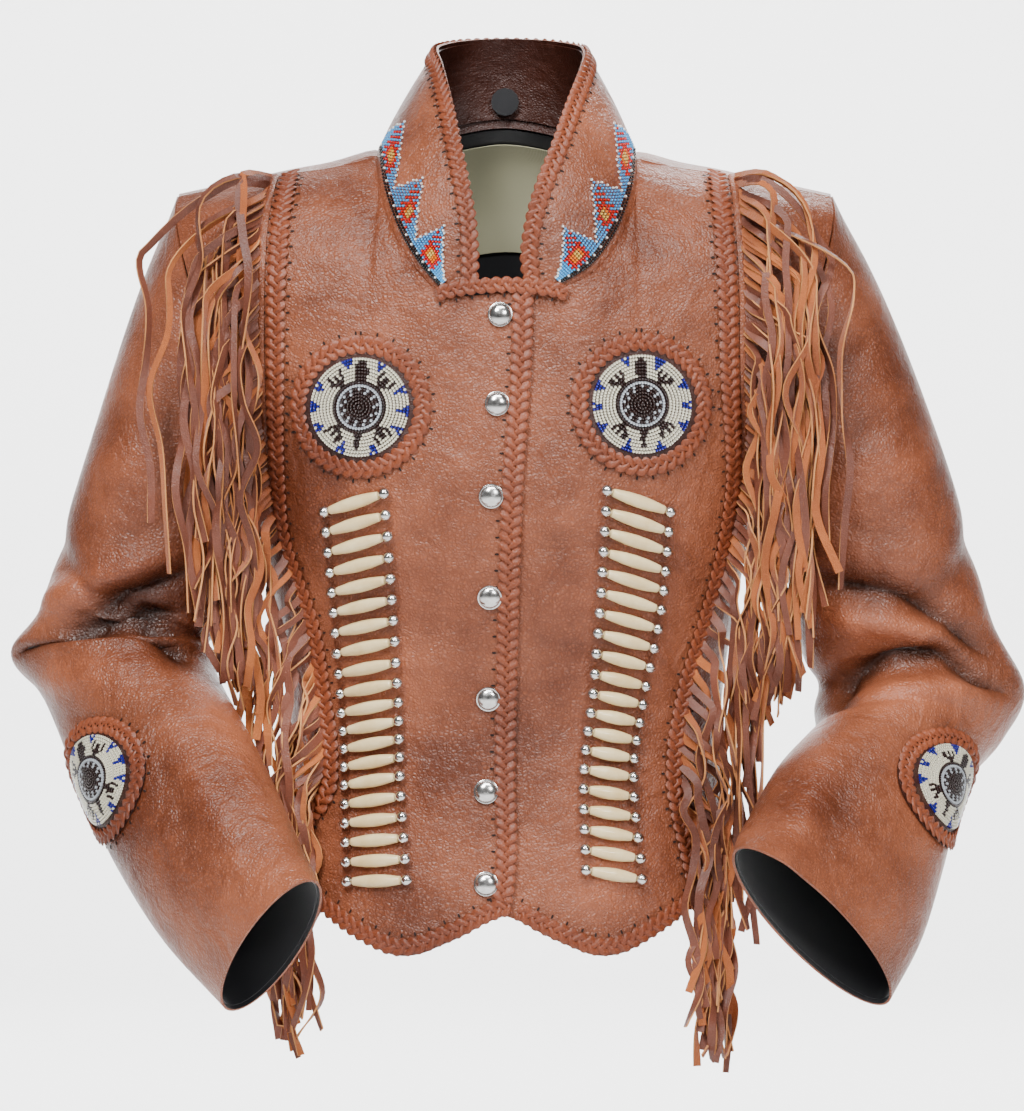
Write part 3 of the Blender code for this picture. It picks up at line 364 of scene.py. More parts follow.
def turn_for_drop(drop, depth):
    """The turn that gives a drop below the ridge."""
    share = np.maximum(drop, 0) / depth
    return np.where(share < 1, np.arccos(np.clip(1 - share, -1, 1)), share - 1 + math.pi / 2)


def torso(angle, turn):
    """Point of the body's surface: angle from the centre plane to the side, turn over the shoulder."""
    angle, turn = np.broadcast_arrays(np.asarray(angle, float), np.asarray(turn, float))
    out = np.zeros_like(angle)
    across = np.sign(np.sin(angle)) * np.abs(np.sin(angle)) ** (2 / SECTION_POWER)
    for _ in range(12):
        ridge, depth = shoulder(out, turn)
        height = ridge - drop_below_ridge(turn, depth)
        width, front, back = torso_section(height)
        out = width * across
    fore = np.abs(np.cos(angle)) ** (2 / SECTION_POWER)
    rounding = np.sin(np.minimum(np.abs(turn), math.pi / 2))
    y = np.where(turn > 0, -front, back) * fore * rounding
    return np.stack([out, y, height], axis=-1)


def chart(out, height, face=1):
    """Angle and turn of a point at a distance out and a height; face is 1 in front, -1 behind."""
    out, height = np.broadcast_arrays(np.asarray(out, float), np.asarray(height, float))
    ridge, depth = shoulder(out, np.full_like(out, face))
    width = torso_section(height)[0]
    share = np.clip(np.abs(out) / width, 0, 1)
    angle = np.sign(out) * np.arcsin(share ** (SECTION_POWER / 2))
    return np.stack([angle, face * turn_for_drop(ridge - height, depth)], axis=-1)


def chart_at_turn(out_at_height, turn):
    """Angle and turn along a line given as a distance out for each height."""
    turn = np.asarray(turn, float)
    height = np.full_like(turn, -0.3)
    for _ in range(30):
        out = out_at_height(height)
        ridge, depth = shoulder(out, np.ones_like(out))
        height = 0.5 * height + 0.5 * (ridge - drop_below_ridge(turn, depth))
    return np.stack([chart(out, height)[..., 0], turn], axis=-1)

print("half width at the waist, mm:", round(float(torso_section(-0.385)[0]) * 1000, 1))

# %% [markdown]
# The seams are lines on that form. Each is worked out as pairs of side angle and turn over the
# shoulder, and a panel is the smooth patch between its four edges.

# %% Seam lines
def princess_out(side):
    """Distance out of the princess seam as a function of the height."""
    column = 0 if side == RIGHT else 1
    return lambda height: through(PRINCESS, np.asarray(height) / MM)[..., column] * MM


def front_edge_out(side):
    """Front edge: the right one leans over the centre, the left one lies under it."""

    def out(height):
        lean = through(FRONT_EDGE, np.asarray(height) / MM)[..., 0] * MM
        return -lean if side == RIGHT else lean - UNDERLAP

    return out


def hem_height(out):
    """Height of the front hem at a distance out."""
    return through(HEM, np.asarray(out) / MM)[..., 0] * MM


def neckline(side, share):
    """Angle and turn of the neckline from the front end to the centre back."""
    rows = through(NECKLINE, share)
    out = rows[..., 0 if side == RIGHT else 1] * MM
    turn = np.radians(rows[..., 2])
    ridge, depth = shoulder(out, turn)
    width = torso_section(ridge - drop_below_ridge(turn, depth))[0]
    angle = np.arcsin((out / width) ** (SECTION_POWER / 2))
    return np.stack([angle, turn], axis=-1)


def armhole(table, share):
    """Angle and turn of one half of the armhole."""
    rows = through(table, share)
    return np.stack([np.radians(rows[..., 0]), rows[..., 1]], axis=-1)


def coons(bottom, top, left, right):
    """Grid between four edges that are lists of (angle, turn)."""
    u = np.linspace(0, 1, len(bottom))[:, None, None]
    v = np.linspace(0, 1, len(left))[None, :, None]
    edges = (1 - v) * bottom[:, None] + v * top[:, None] + (1 - u) * left[None] + u * right[None]
    corners = (
        (1 - u) * (1 - v) * bottom[0]
        + u * (1 - v) * bottom[-1]
        + (1 - u) * v * top[0]
        + u * v * top[-1]
    )
    return edges - corners


def edge_rows(out_at_height, hem_out, top_turn):
    """A seam from hem to shoulder, in even steps of turn."""
    ridge, depth = shoulder(hem_out, 1.0)
    hem_turn = turn_for_drop(ridge - hem_height(hem_out), depth)
    return chart_at_turn(out_at_height, np.linspace(hem_turn, top_turn, PANEL_ROWS + 1))


def princess_rows(side):
    """The princess seam as rows that the panels on both sides of it share."""
    out = princess_out(side)
    return edge_rows(out, out(-0.505), SHOULDER_SEAM_TURN)


def shoulder_seam(start, end, columns):
    """Even steps along the shoulder seam between two side angles."""
    angle = np.linspace(start, end, columns + 1)
    return np.stack([angle, np.full_like(angle, SHOULDER_SEAM_TURN)], axis=-1)


# %% [markdown]
# A panel is a patch of the body form between two seams. It is laid out as a coarse grid of side
# angle and turn, put on the form, and trimmed back from its seams, as a cutter leaves an allowance.

# %% Panels as coarse grids
def normals(grid, wrap=False):
    """Unit normals of a grid of points, from its neighbours' differences."""
    if wrap:
        ring = np.concatenate([grid[:, -1:], grid, grid[:, :1]], axis=1)
        across = (ring[:, 2:] - ring[:, :-2])
    else:
        across = np.gradient(grid, axis=1)
    n = np.cross(np.gradient(grid, axis=0), across)
    return n / np.maximum(np.linalg.norm(n, axis=-1, keepdims=True), 1e-12)


def mirrored(grid, side):
    """The same points on the right or the left side."""
    return grid * np.array([side, 1.0, 1.0])


def outward(grid):
    """Normals of a torso grid that point away from the body's middle line."""
    n = normals(grid)
    away = grid * np.array([1.0, 1.0, 0.0]) + np.array([0.0, 0.0, 0.05])
    return n * np.sign(np.sum(n * away, axis=-1, keepdims=True))


def trimmed(grid, edge, cut):
    """A grid with one edge cut back along its own facets; edge is first, last, low or high."""
    grid = grid.copy()
    line, beside = {
        "first": (grid[0], grid[1]),
        "last": (grid[-1], grid[-2]),
        "low": (grid[:, 0], grid[:, 1]),
        "high": (grid[:, -1], grid[:, -2]),
    }[edge]
    way = beside - line
    line += way / np.linalg.norm(way, axis=-1, keepdims=True) * cut
    return grid


def front_grid(side):
    """Front panel, from its free edge to the princess seam."""
    edge, seam = front_edge_out(side), princess_out(side)
    neck_height = -0.0915
    left = edge_rows(edge, edge(-0.513), chart(edge(neck_height), neck_height)[1])
    right = princess_rows(side)
    hem_out = np.linspace(edge(-0.513), seam(-0.505), NECK_COLUMNS_FRONT + SHOULDER_COLUMNS + 2)
    bottom = chart(hem_out, hem_height(hem_out))
    bottom[0], bottom[-1] = left[0], right[0]
    neck = neckline(side, np.linspace(0, 0.72, NECK_COLUMNS_FRONT + 1))
    line = shoulder_seam(neck[-1][0], right[-1][0], SHOULDER_COLUMNS)
    top = np.concatenate([left[-1:], neck, line[1:]])
    chart_grid = coons(bottom, top, left, right)
    grid = torso(chart_grid[..., 0], chart_grid[..., 1])
    grid = trimmed(trimmed(grid, "last", SEAM_GAP / 2), "high", SHOULDER_CUT)
    grid = mirrored(grid, side)
    if side == LEFT:
        lean = -front_edge_out(RIGHT)(grid[..., 2])
        sunk = 1 - ease(9 * MM, 32 * MM, grid[..., 0] - lean)
        grid = grid - outward(grid) * (sunk * (LEATHER + 2 * SEAM_GAP))[..., None]
    return grid


def side_grid(side):
    """Side panel, from the princess seam to the side seam and armhole."""
    left = princess_rows(side)
    hem_turn = left[0][1]
    seam_turn = np.linspace(hem_turn, ARMHOLE_FRONT[-1][2], SIDE_SEAM_ROWS + 1)[:-1]
    seam = np.stack([np.full_like(seam_turn, math.pi / 2), seam_turn], axis=-1)
    right = np.concatenate([seam, armhole(ARMHOLE_FRONT, np.linspace(1, 0, ARMHOLE_ROWS + 1))])
    bottom = np.linspace(left[0], right[0], ARM_COLUMNS + 1)
    top = shoulder_seam(left[-1][0], right[-1][0], ARM_COLUMNS)
    chart_grid = coons(bottom, top, left, right)
    grid = torso(chart_grid[..., 0], chart_grid[..., 1])
    for edge, cut in (("first", SEAM_GAP / 2), ("last", SEAM_GAP / 2), ("high", SHOULDER_CUT)):
        grid = trimmed(grid, edge, cut)
    return mirrored(grid, side)


# %% [markdown]
# The back is one piece. The collar stands on the neck edge, and each sleeve is a tube of rings
# along a bent line, so that the elbow keeps its bend.

# %% Back, collar and sleeves as coarse grids
def back_half(side):
    """Half of the back as (angle, turn), from the centre line to the side seam and armhole."""
    hem_turn = -princess_rows(side)[0][1]
    seam_turn = np.linspace(hem_turn, ARMHOLE_BACK[-1][2], SIDE_SEAM_ROWS + 1)[:-1]
    hem_level = torso(math.pi / 2, hem_turn)[2]
    seam = np.stack([np.full_like(seam_turn, math.pi / 2), seam_turn], axis=-1)
    right = np.concatenate([seam, armhole(ARMHOLE_BACK, np.linspace(1, 0, ARMHOLE_ROWS + 1))])
    neck = neckline(side, np.linspace(1, 0.72, NECK_COLUMNS_BACK + 1))
    near = princess_rows(side)[-1][0]
    inner = shoulder_seam(neck[-1][0], near, SHOULDER_COLUMNS)
    outer = shoulder_seam(near, right[-1][0], ARM_COLUMNS)
    top = np.concatenate([neck, inner[1:], outer[1:]])
    bottom_angle = np.linspace(0, math.pi / 2, len(top))
    width = torso_section(hem_level)[0]
    bottom = chart(width * np.sin(bottom_angle) ** (2 / SECTION_POWER), hem_level, -1)
    bottom[:, 0] = bottom_angle
    bottom[-1, 1] = hem_turn
    centre_turn = np.linspace(bottom[0][1], neck[0][1], PANEL_ROWS + 1)
    left = np.stack([np.zeros_like(centre_turn), centre_turn], axis=-1)
    return coons(bottom, top, left, right)


def back_grid():
    """Back panel, side seam to side seam, one piece over the ridge of both shoulders."""
    halves = []
    for side in (RIGHT, LEFT):
        chart_grid = back_half(side)
        grid = torso(chart_grid[..., 0], chart_grid[..., 1])
        grid = trimmed(trimmed(grid, "last", SEAM_GAP / 2), "high", SHOULDER_CUT)
        halves.append(mirrored(grid, side))
    return np.concatenate([halves[0][::-1], halves[1][1:]])

def collar_out(grid):
    """Normals of a collar grid that point away from the neck."""
    n = normals(grid)
    middle = np.array([0.0, -0.01, 0.03])
    return n * np.sign(np.sum(n * (grid - middle), axis=-1, keepdims=True))


def collar_grid(inset=0.0, rows=3):
    """Stand collar from its seam to its free edge, right end to left end, moved in by inset."""
    front = np.linspace(0, 0.72, NECK_COLUMNS_FRONT + 1)
    back = np.linspace(0.72, 1, NECK_COLUMNS_BACK + 1)[1:]
    shares = np.concatenate([front, back])
    halves = []
    for side in (RIGHT, LEFT):
        line = neckline(side, shares)
        base = torso(line[:, 0], line[:, 1])
        edge = through(COLLAR_EDGE, shares) * MM
        free = np.stack([edge[:, 0 if side == RIGHT else 1], edge[:, 2], edge[:, 3]], axis=-1)
        lift = free - base
        reach = np.linalg.norm(lift, axis=-1, keepdims=True)
        base = base + lift / reach * (SEAM_GAP + 0.75 * LEATHER)
        h = np.linspace(0, 1, rows + 1)[None, :, None]
        out = base * np.array([1.0, 1.0, 0.0]) + np.array([1e-6, 0.0, 0.0])
        out = out / np.linalg.norm(out, axis=-1, keepdims=True)
        swell = (3 * MM) * np.sin(np.pi * h) * ease(0, 0.3, shares)[:, None, None]
        grid = base[:, None] * (1 - h) + free[:, None] * h + out[:, None] * swell
        halves.append(mirrored(grid, side))
    grid = np.concatenate([halves[0], halves[1][-2::-1]])
    return grid - collar_out(grid) * inset

def sleeve_rings(side):
    """One ring of points for each row of the sleeve's table, the armhole first."""
    turn = np.arange(SLEEVE_SIDES) / SLEEVE_SIDES * 2 * math.pi
    front = turn <= math.pi + 1e-9
    share = np.where(front, turn, 2 * math.pi - turn) / math.pi
    line = np.where(front[:, None], armhole(ARMHOLE_FRONT, share), armhole(ARMHOLE_BACK, share))
    hole = torso(line[:, 0], line[:, 1])
    rows = np.array(SLEEVE_RIGHT if side == RIGHT else SLEEVE_LEFT, float) * MM
    outer, inner, depth = rows[:, 0:3], rows[:, 3:6], rows[:, 6]
    middle = (outer + inner) / 2
    axis = np.gradient(middle, axis=0)
    fore = np.cross(outer - inner, axis)
    fore = fore / np.linalg.norm(fore, axis=-1, keepdims=True) * depth[:, None]
    fore = fore * -np.sign(fore[:, 1:2])
    rings = (
        middle[:, None]
        + (outer - inner)[:, None] / 2 * np.cos(turn)[None, :, None]
        + fore[:, None] * np.sin(turn)[None, :, None]
    )
    edge = np.roll(hole, -1, axis=0) - np.roll(hole, 1, axis=0)
    edge = edge / np.linalg.norm(edge, axis=-1, keepdims=True)
    away = rings[0] - hole
    away = away - edge * np.sum(away * edge, axis=-1, keepdims=True)
    away = away / np.linalg.norm(away, axis=-1, keepdims=True)
    return np.concatenate([(hole + away * ARMHOLE_CLEAR)[None], rings])


def sleeve_grid(side, steps=SLEEVE_STEPS, inset=0.0):
    """Sleeve surface at the given stations, with its largest folds, moved in by inset."""
    rings = sleeve_rings(side)
    stations = np.arange(len(rings), dtype=float)
    table = np.concatenate([stations[:, None], rings.reshape(len(rings), -1)], axis=1)
    steps = np.asarray(steps, float)
    grid = through(table, steps).reshape(len(steps), SLEEVE_SIDES, 3)
    n = normals(grid, wrap=True)
    middle = grid.mean(axis=1, keepdims=True)
    n = n * np.sign(np.sum(n * (grid - middle), axis=(-1), keepdims=True))
    turn = np.degrees(np.arange(SLEEVE_SIDES) / SLEEVE_SIDES * 2 * math.pi)
    raised = np.zeros(grid.shape[:2])
    for station, angle, spread, depth, breadth, slant in SLEEVE_FOLDS:
        off = (turn - angle + 180) % 360 - 180
        at = station + slant * np.radians(off)
        window = np.exp(-((off / spread) ** 2))
        raised += depth * MM * window[None] * np.exp(-(((steps[:, None] - at[None]) / breadth) ** 2))
    return mirrored(grid + n * (raised - inset)[..., None], side)

# %% [markdown]
# The coarse grids have the places of the seams, but light shows their facets. Each is made finer
# with the same Hermite curves along both of its directions, and a sleeve also closes on itself.

# %% Finer grids
def finer(grid, across, along, wrap=False):
    """Each step of the grid is cut into across by along steps on smooth curves through its points."""

    def once(values, cuts):
        steps = np.arange(len(values), dtype=float)
        table = np.concatenate([steps[:, None], values.reshape(len(values), -1)], axis=1)
        at = np.linspace(0, len(values) - 1, (len(values) - 1) * cuts + 1)
        return through(table, at).reshape((len(at),) + values.shape[1:])

    grid = once(grid, across) if across > 1 else grid
    if along == 1:
        return grid
    turned = np.swapaxes(grid, 0, 1)
    if wrap:
        turned = np.concatenate([turned[-3:], turned, turned[:4]])
        turned = once(turned, along)[3 * along : -3 * along - 1]
    else:
        turned = once(turned, along)
    return np.swapaxes(turned, 0, 1)


def away_from(grid, middle, wrap=False):
    """Unit normals of a grid that point away from given points."""
    n = normals(grid, wrap)
    return n * np.sign(np.sum(n * (grid - middle), axis=-1, keepdims=True))


def away_from_body(grid):
    """Unit normals of a panel that point away from the body's middle line."""
    return away_from(grid, grid * np.array([0.0, 0.0, 1.0]) - np.array([0.0, 0.0, 0.05]))


# %% [markdown]
# Folds in worn leather are soft: a trough has a ridge beside it and both fade out at their ends.
# A fold is a line seen from the front or the back, and the leather moves along its normal by a
# bell curve of its distance from that line.

# %% Folds
def fold_height(grid, n, table, face):
    """Sum of depth * exp(-(distance from the fold's line / breadth)^p), where the cloth faces that way.

    p is 2 on a ridge and 1.3 in a trough, so ridges are round and creases are sharp.
    """
    flat = grid[..., [0, 2]] / MM
    height = np.zeros(grid.shape[:2])
    facing = ease(0.0, 0.6, n[..., 1] * -face)
    for x0, z0, x1, z1, depth, breadth in table:
        start, run = np.array([x0, z0], float), np.array([x1 - x0, z1 - z0], float)
        share = np.clip(((flat - start) @ run) / (run @ run), 0, 1)
        gap = np.linalg.norm(flat - start - share[..., None] * run, axis=-1)
        power = 2.0 if depth > 0 else 1.3
        height += depth * MM * np.exp(-((gap / breadth) ** power)) * (0.35 + 2.6 * share * (1 - share))
    return height * facing


def folded(grid, n, table, face=1):
    """The grid moved along its normals by its folds, and the heights of those folds."""
    height = fold_height(grid, n, table, face)
    return grid + n * height[..., None], height


# %% [markdown]
# Every cloth piece is a thin closed wall: an outer skin, an inner skin and the cut edge between
# them. Building it from arrays keeps the outer skin exactly on the grid.

# %% Walls and other meshes
def shown(name, points, faces, paints, slots=None, sharp=50):
    """A mesh object at the origin from arrays of points and faces."""
    mesh = bpy.data.meshes.new(name)
    mesh.from_pydata(np.asarray(points).reshape(-1, 3).tolist(), [], faces)
    for paint in paints:
        mesh.materials.append(paint)
    if slots is not None:
        mesh.polygons.foreach_set("material_index", np.asarray(slots, dtype=np.int32))
    mesh.polygons.foreach_set("use_smooth", np.ones(len(mesh.polygons), dtype=bool))
    mesh.set_sharp_from_angle(angle=math.radians(sharp))
    mesh.update()
    made = bpy.data.objects.new(name, mesh)
    bpy.context.scene.collection.objects.link(made)
    return made


def grid_quads(rows, columns, wrap=False):
    """Corners of the quads of a grid, row by row."""
    i = np.arange(rows - 1)[:, None]
    j = np.arange(columns if wrap else columns - 1)[None]
    k = (j + 1) % columns
    corners = (i * columns + j, (i + 1) * columns + j, (i + 1) * columns + k, i * columns + k)
    return np.stack(np.broadcast_arrays(*corners), axis=-1).reshape(-1, 4)


def wall(name, grid, n, thickness, skin, back, wrap=False, folds=None):
    """A closed wall round a grid, half its thickness to each side: skin outside, back inside."""
    rows, columns = grid.shape[:2]
    size = rows * columns
    outer, inner = grid + n * thickness / 2, grid - n * thickness / 2
    quads = grid_quads(rows, columns, wrap)
    a, b, c = (outer.reshape(-1, 3)[quads[:, k]] for k in (0, 1, 2))
    turn = np.sum(np.cross(b - a, c - b) * n.reshape(-1, 3)[quads[:, 0]])
    if turn < 0:
        quads = quads[:, ::-1]
    if wrap:
        first, last = np.arange(columns), np.arange(columns) + (rows - 1) * columns
        loops = [np.append(first, first[0]), np.append(last, last[0])]
    else:
        top = np.arange(columns)
        low = np.arange(columns) + (rows - 1) * columns
        near, far = np.arange(rows) * columns, np.arange(rows) * columns + columns - 1
        loops = [top, low, near, far]
    sides = [quads[:, [k, (k + 1) % 4]] for k in range(4)]
    edges = {tuple(e) for e in np.concatenate(sides).tolist()}
    rim = []
    for loop in loops:
        for p, q in zip(loop[:-1].tolist(), loop[1:].tolist()):
            if (p, q) in edges:
                rim.append([q, p, p + size, q + size])
            else:
                rim.append([p, q, q + size, p + size])
    faces = quads.tolist() + (quads[:, ::-1] + size).tolist() + rim
    slots = [0] * len(quads) + [1] * len(quads) + [0] * len(rim)
    points = np.concatenate([outer.reshape(-1, 3), inner.reshape(-1, 3)])
    made = shown(name, points, faces, [skin, back], slots)
    # The fold heights are kept as an attribute, which the leather materials turn into painted shade in the
    # creases and painted light on the ridges.
    if folds is not None:
        kept = made.data.attributes.new("fold", "FLOAT", "POINT")
        kept.data.foreach_set("value", np.tile(folds.reshape(-1) / MM, 2).astype(np.float32))
    return made


def dress(piece, slot, *nodes):
    """The piece rides on the jacket and stands for CAD nodes, which are hidden; slot is not used."""
    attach(piece, "root")
    if nodes:
        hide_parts(*nodes)
    return piece


def cut_piece(piece, slot, node):
    """A finished cloth piece rides on the jacket and stands for its node; slot is handed to dress, which
    does not use it.
    """
    dress(piece, slot, node)


# %% [markdown]
# Leather has three scales: a broad change of shade where it was dyed and handled, fine wrinkles,
# and pores. One shader group makes them all from Object coordinates, so that every leather on
# the jacket can use it with its own sizes.

# %% Shader groups
def add_node(tree, kind, place, **inputs):
    """A node with its inputs set by name; names ending in _socket link instead."""
    node = tree.nodes.new(kind)
    node.location = place
    for key, value in inputs.items():
        socket = node.inputs[key.replace("_", " ")]
        if isinstance(value, bpy.types.NodeSocket):
            tree.links.new(value, socket)
        else:
            socket.default_value = value
    return node


def new_group(name, takes, gives):
    """An empty shader group with named inputs and outputs."""
    group = bpy.data.node_groups.new(name, "ShaderNodeTree")
    for label, (kind, value) in takes.items():
        socket = group.interface.new_socket(label, in_out="INPUT", socket_type=kind)
        socket.default_value = value
    for label, kind in gives.items():
        group.interface.new_socket(label, in_out="OUTPUT", socket_type=kind)
    entry = group.nodes.new("NodeGroupInput")
    entry.location = (-900, 0)
    leave = group.nodes.new("NodeGroupOutput")
    leave.location = (700, 0)
    return group, entry, leave


def maths(tree, operation, a, b, place=(0, 0)):
    """A Math node; a and b are sockets or numbers."""
    node = tree.nodes.new("ShaderNodeMath")
    node.operation = operation
    node.location = place
    for socket, value in zip(node.inputs, (a, b)):
        if isinstance(value, bpy.types.NodeSocket):
            tree.links.new(value, socket)
        else:
            socket.default_value = value
    return node.outputs[0]


def mixed(tree, factor, a, b, place=(0, 0)):
    """A colour mix; each argument is a socket or a value."""
    node = tree.nodes.new("ShaderNodeMix")
    node.data_type = "RGBA"
    node.location = place
    for socket, value in ((node.inputs[0], factor), (node.inputs[6], a), (node.inputs[7], b)):
        if isinstance(value, bpy.types.NodeSocket):
            tree.links.new(value, socket)
        else:
            socket.default_value = value
    return node.outputs[2]


HIDE, entry, leave = new_group(
    "hide",
    {
        "Dark": ("NodeSocketColor", (0.1, 0.03, 0.02, 1)),
        "Light": ("NodeSocketColor", (0.5, 0.2, 0.1, 1)),
        "Pore Scale": ("NodeSocketFloat", 700.0),
        "Wrinkle": ("NodeSocketFloat", 0.5),
    },
    {"Color": "NodeSocketColor", "Height": "NodeSocketFloat", "Shine": "NodeSocketFloat"},
)
place = add_node(HIDE, "ShaderNodeTexCoord", (-900, -300)).outputs["Object"]
pores = add_node(HIDE, "ShaderNodeTexVoronoi", (-600, -200), Vector=place, Scale=entry.outputs["Pore Scale"])
pores.feature = "DISTANCE_TO_EDGE"
pebble = add_node(HIDE, "ShaderNodeMapRange", (-450, -200), Value=pores.outputs["Distance"])
pebble.inputs["From Max"].default_value = 0.42
broad = add_node(HIDE, "ShaderNodeTexNoise", (-600, 200), Vector=place, Scale=9.0, Detail=4.0, Roughness=0.6)
creased = add_node(
    HIDE, "ShaderNodeTexNoise", (-600, 0), Vector=place, Scale=95.0, Detail=5.0, Distortion=0.9,
    Roughness=0.62,
)
shade = add_node(HIDE, "ShaderNodeMapRange", (-300, 200), Value=broad.outputs["Fac"])
shade.inputs["From Min"].default_value = 0.30
shade.inputs["From Max"].default_value = 0.70
fine = maths(HIDE, "MULTIPLY", pebble.outputs[0], 0.35, (-300, -200))
fine = maths(HIDE, "ADD", fine, -0.22, (-150, -200))
tone = maths(HIDE, "ADD", shade.outputs[0], fine, (0, 100))
wrinkles = maths(HIDE, "MULTIPLY", creased.outputs["Fac"], entry.outputs["Wrinkle"], (-300, 0))
ripple = add_node(
    HIDE, "ShaderNodeTexNoise", (-600, -500), Vector=place, Scale=38.0, Detail=3.0, Distortion=1.4
)
wrinkles = maths(HIDE, "ADD", wrinkles, maths(HIDE, "MULTIPLY", ripple.outputs["Fac"], 1.1))
rise = maths(HIDE, "ADD", wrinkles, maths(HIDE, "MULTIPLY", pebble.outputs[0], 0.16), (0, -100))
hue = mixed(HIDE, tone, entry.outputs["Dark"], entry.outputs["Light"], (300, 200))
HIDE.links.new(hue, leave.inputs["Color"])
HIDE.links.new(rise, leave.inputs["Height"])
HIDE.links.new(maths(HIDE, "MULTIPLY", creased.outputs["Fac"], 0.25), leave.inputs["Shine"])

WEAVE, entry, leave = new_group(
    "weave",
    {"Scale": ("NodeSocketFloat", 1200.0)},
    {"Height": "NodeSocketFloat", "Thread": "NodeSocketFloat"},
)
place = add_node(WEAVE, "ShaderNodeTexCoord", (-900, -300)).outputs["Object"]
warp = add_node(WEAVE, "ShaderNodeTexWave", (-500, 100), Vector=place, Scale=entry.outputs["Scale"])
warp.bands_direction = "DIAGONAL"
weft = add_node(WEAVE, "ShaderNodeTexWave", (-500, -200), Vector=place, Scale=entry.outputs["Scale"])
weft.bands_direction = "Z"
WEAVE.links.new(maths(WEAVE, "MULTIPLY", warp.outputs["Fac"], weft.outputs["Fac"]), leave.inputs["Height"])
WEAVE.links.new(warp.outputs["Fac"], leave.inputs["Thread"])


# %% [markdown]
# Leather, suede, satin, bone, silver and glass each get one material. The Principled shader stays
# in the material, with its plain numbers on its own sockets, and the groups feed it what varies.

# %% Finishes
def paint(name, roughness, metallic=0.0):
    """A Principled material with its plain numbers set on the shader's own sockets."""
    made = bpy.data.materials.new(name)
    made.use_nodes = True
    shader = made.node_tree.nodes["Principled BSDF"]
    shader.inputs["Roughness"].default_value = roughness
    shader.inputs["Metallic"].default_value = metallic
    return made, made.node_tree, shader


def bumped(tree, shader, height, strength, reach):
    """Feeds a height to the shader's normal."""
    bump = add_node(tree, "ShaderNodeBump", (-200, -300), Height=height)
    bump.inputs["Strength"].default_value = strength
    bump.inputs["Distance"].default_value = reach
    tree.links.new(bump.outputs[0], shader.inputs["Normal"])


def hide_paint(name, dark, light, rough, pore, wrinkle, strength, sheen=0.0):
    """Leather or suede from the hide group, with painted shade in the creases and painted light on the
    ridges.
    """
    made, tree, shader = paint(name, rough)
    skin = tree.nodes.new("ShaderNodeGroup")
    skin.node_tree = HIDE
    skin.location = (-600, 0)
    skin.inputs["Dark"].default_value = (*dark, 1)
    skin.inputs["Light"].default_value = (*light, 1)
    skin.inputs["Pore Scale"].default_value = pore
    skin.inputs["Wrinkle"].default_value = wrinkle
    # Painted shade and painted light: the fold height darkens the base colour in the troughs and lightens it
    # on the ridges.
    fold = tree.nodes.new("ShaderNodeAttribute")
    fold.attribute_name = "fold"
    fold_shade_and_light = maths(tree, "ADD", maths(tree, "MULTIPLY", fold.outputs["Fac"], 0.065), 1.0)
    fold_shade_and_light = maths(tree, "MAXIMUM", maths(tree, "MINIMUM", fold_shade_and_light, 1.25), 0.2)
    toned = add_node(tree, "ShaderNodeVectorMath", (-300, 100))
    toned.operation = "SCALE"
    tree.links.new(skin.outputs["Color"], toned.inputs[0])
    tree.links.new(fold_shade_and_light, toned.inputs["Scale"])
    tree.links.new(toned.outputs["Vector"], shader.inputs["Base Color"])
    tree.links.new(maths(tree, "ADD", skin.outputs["Shine"], rough - 0.12), shader.inputs["Roughness"])
    bumped(tree, shader, skin.outputs["Height"], strength, 0.003)
    shader.inputs["Sheen Weight"].default_value = sheen
    shader.inputs["Specular IOR Level"].default_value = 0.38
    return made


LEATHER_SKIN = hide_paint(
    "brown_leather", (0.105, 0.026, 0.010), (0.35, 0.108, 0.050), 0.34, 400.0, 0.7, 0.75
)
LACE_SKIN = hide_paint("lacing_leather", (0.13, 0.029, 0.011), (0.28, 0.070, 0.027), 0.42, 420.0, 0.6, 0.4)
FACING_SKIN = hide_paint(
    "facing_leather", (0.022, 0.005, 0.003), (0.055, 0.013, 0.006), 0.42, 560.0, 0.8, 0.6
)
# Near black: painted shade where the lacing goes into its slots.
SLOT_SHADE_SKIN = hide_paint("lacing_slot_shade", (0.01, 0.004, 0.003), (0.02, 0.008, 0.005), 0.8, 500.0, 0.5, 0.2)
GRAIN_SKIN = hide_paint("fringe_grain", (0.09, 0.028, 0.017), (0.22, 0.066, 0.036), 0.45, 600.0, 0.8, 0.4)
SUEDE_SKIN = hide_paint(
    "fringe_suede", (0.24, 0.056, 0.013), (0.52, 0.15, 0.036), 0.85, 900.0, 0.9, 0.5, 0.2
)
EDGE_SKIN = hide_paint("fringe_cut_edge", (0.36, 0.13, 0.04), (0.68, 0.32, 0.12), 0.8, 900.0, 0.9, 0.3)

SATIN_SKIN, tree, shader = paint("black_satin", 0.32)
shader.inputs["Base Color"].default_value = (0.010, 0.010, 0.012, 1)
shader.inputs["Sheen Weight"].default_value = 0.2
weave = tree.nodes.new("ShaderNodeGroup")
weave.node_tree = WEAVE
bumped(tree, shader, weave.outputs["Height"], 0.15, 0.0004)

CREAM_SKIN, tree, shader = paint("label_cloth", 0.8)
weave = tree.nodes.new("ShaderNodeGroup")
weave.node_tree = WEAVE
weave.inputs["Scale"].default_value = 900.0
cloth = mixed(tree, weave.outputs["Thread"], (0.36, 0.35, 0.22, 1), (0.50, 0.48, 0.32, 1))
tree.links.new(cloth, shader.inputs["Base Color"])
bumped(tree, shader, weave.outputs["Height"], 0.3, 0.0004)

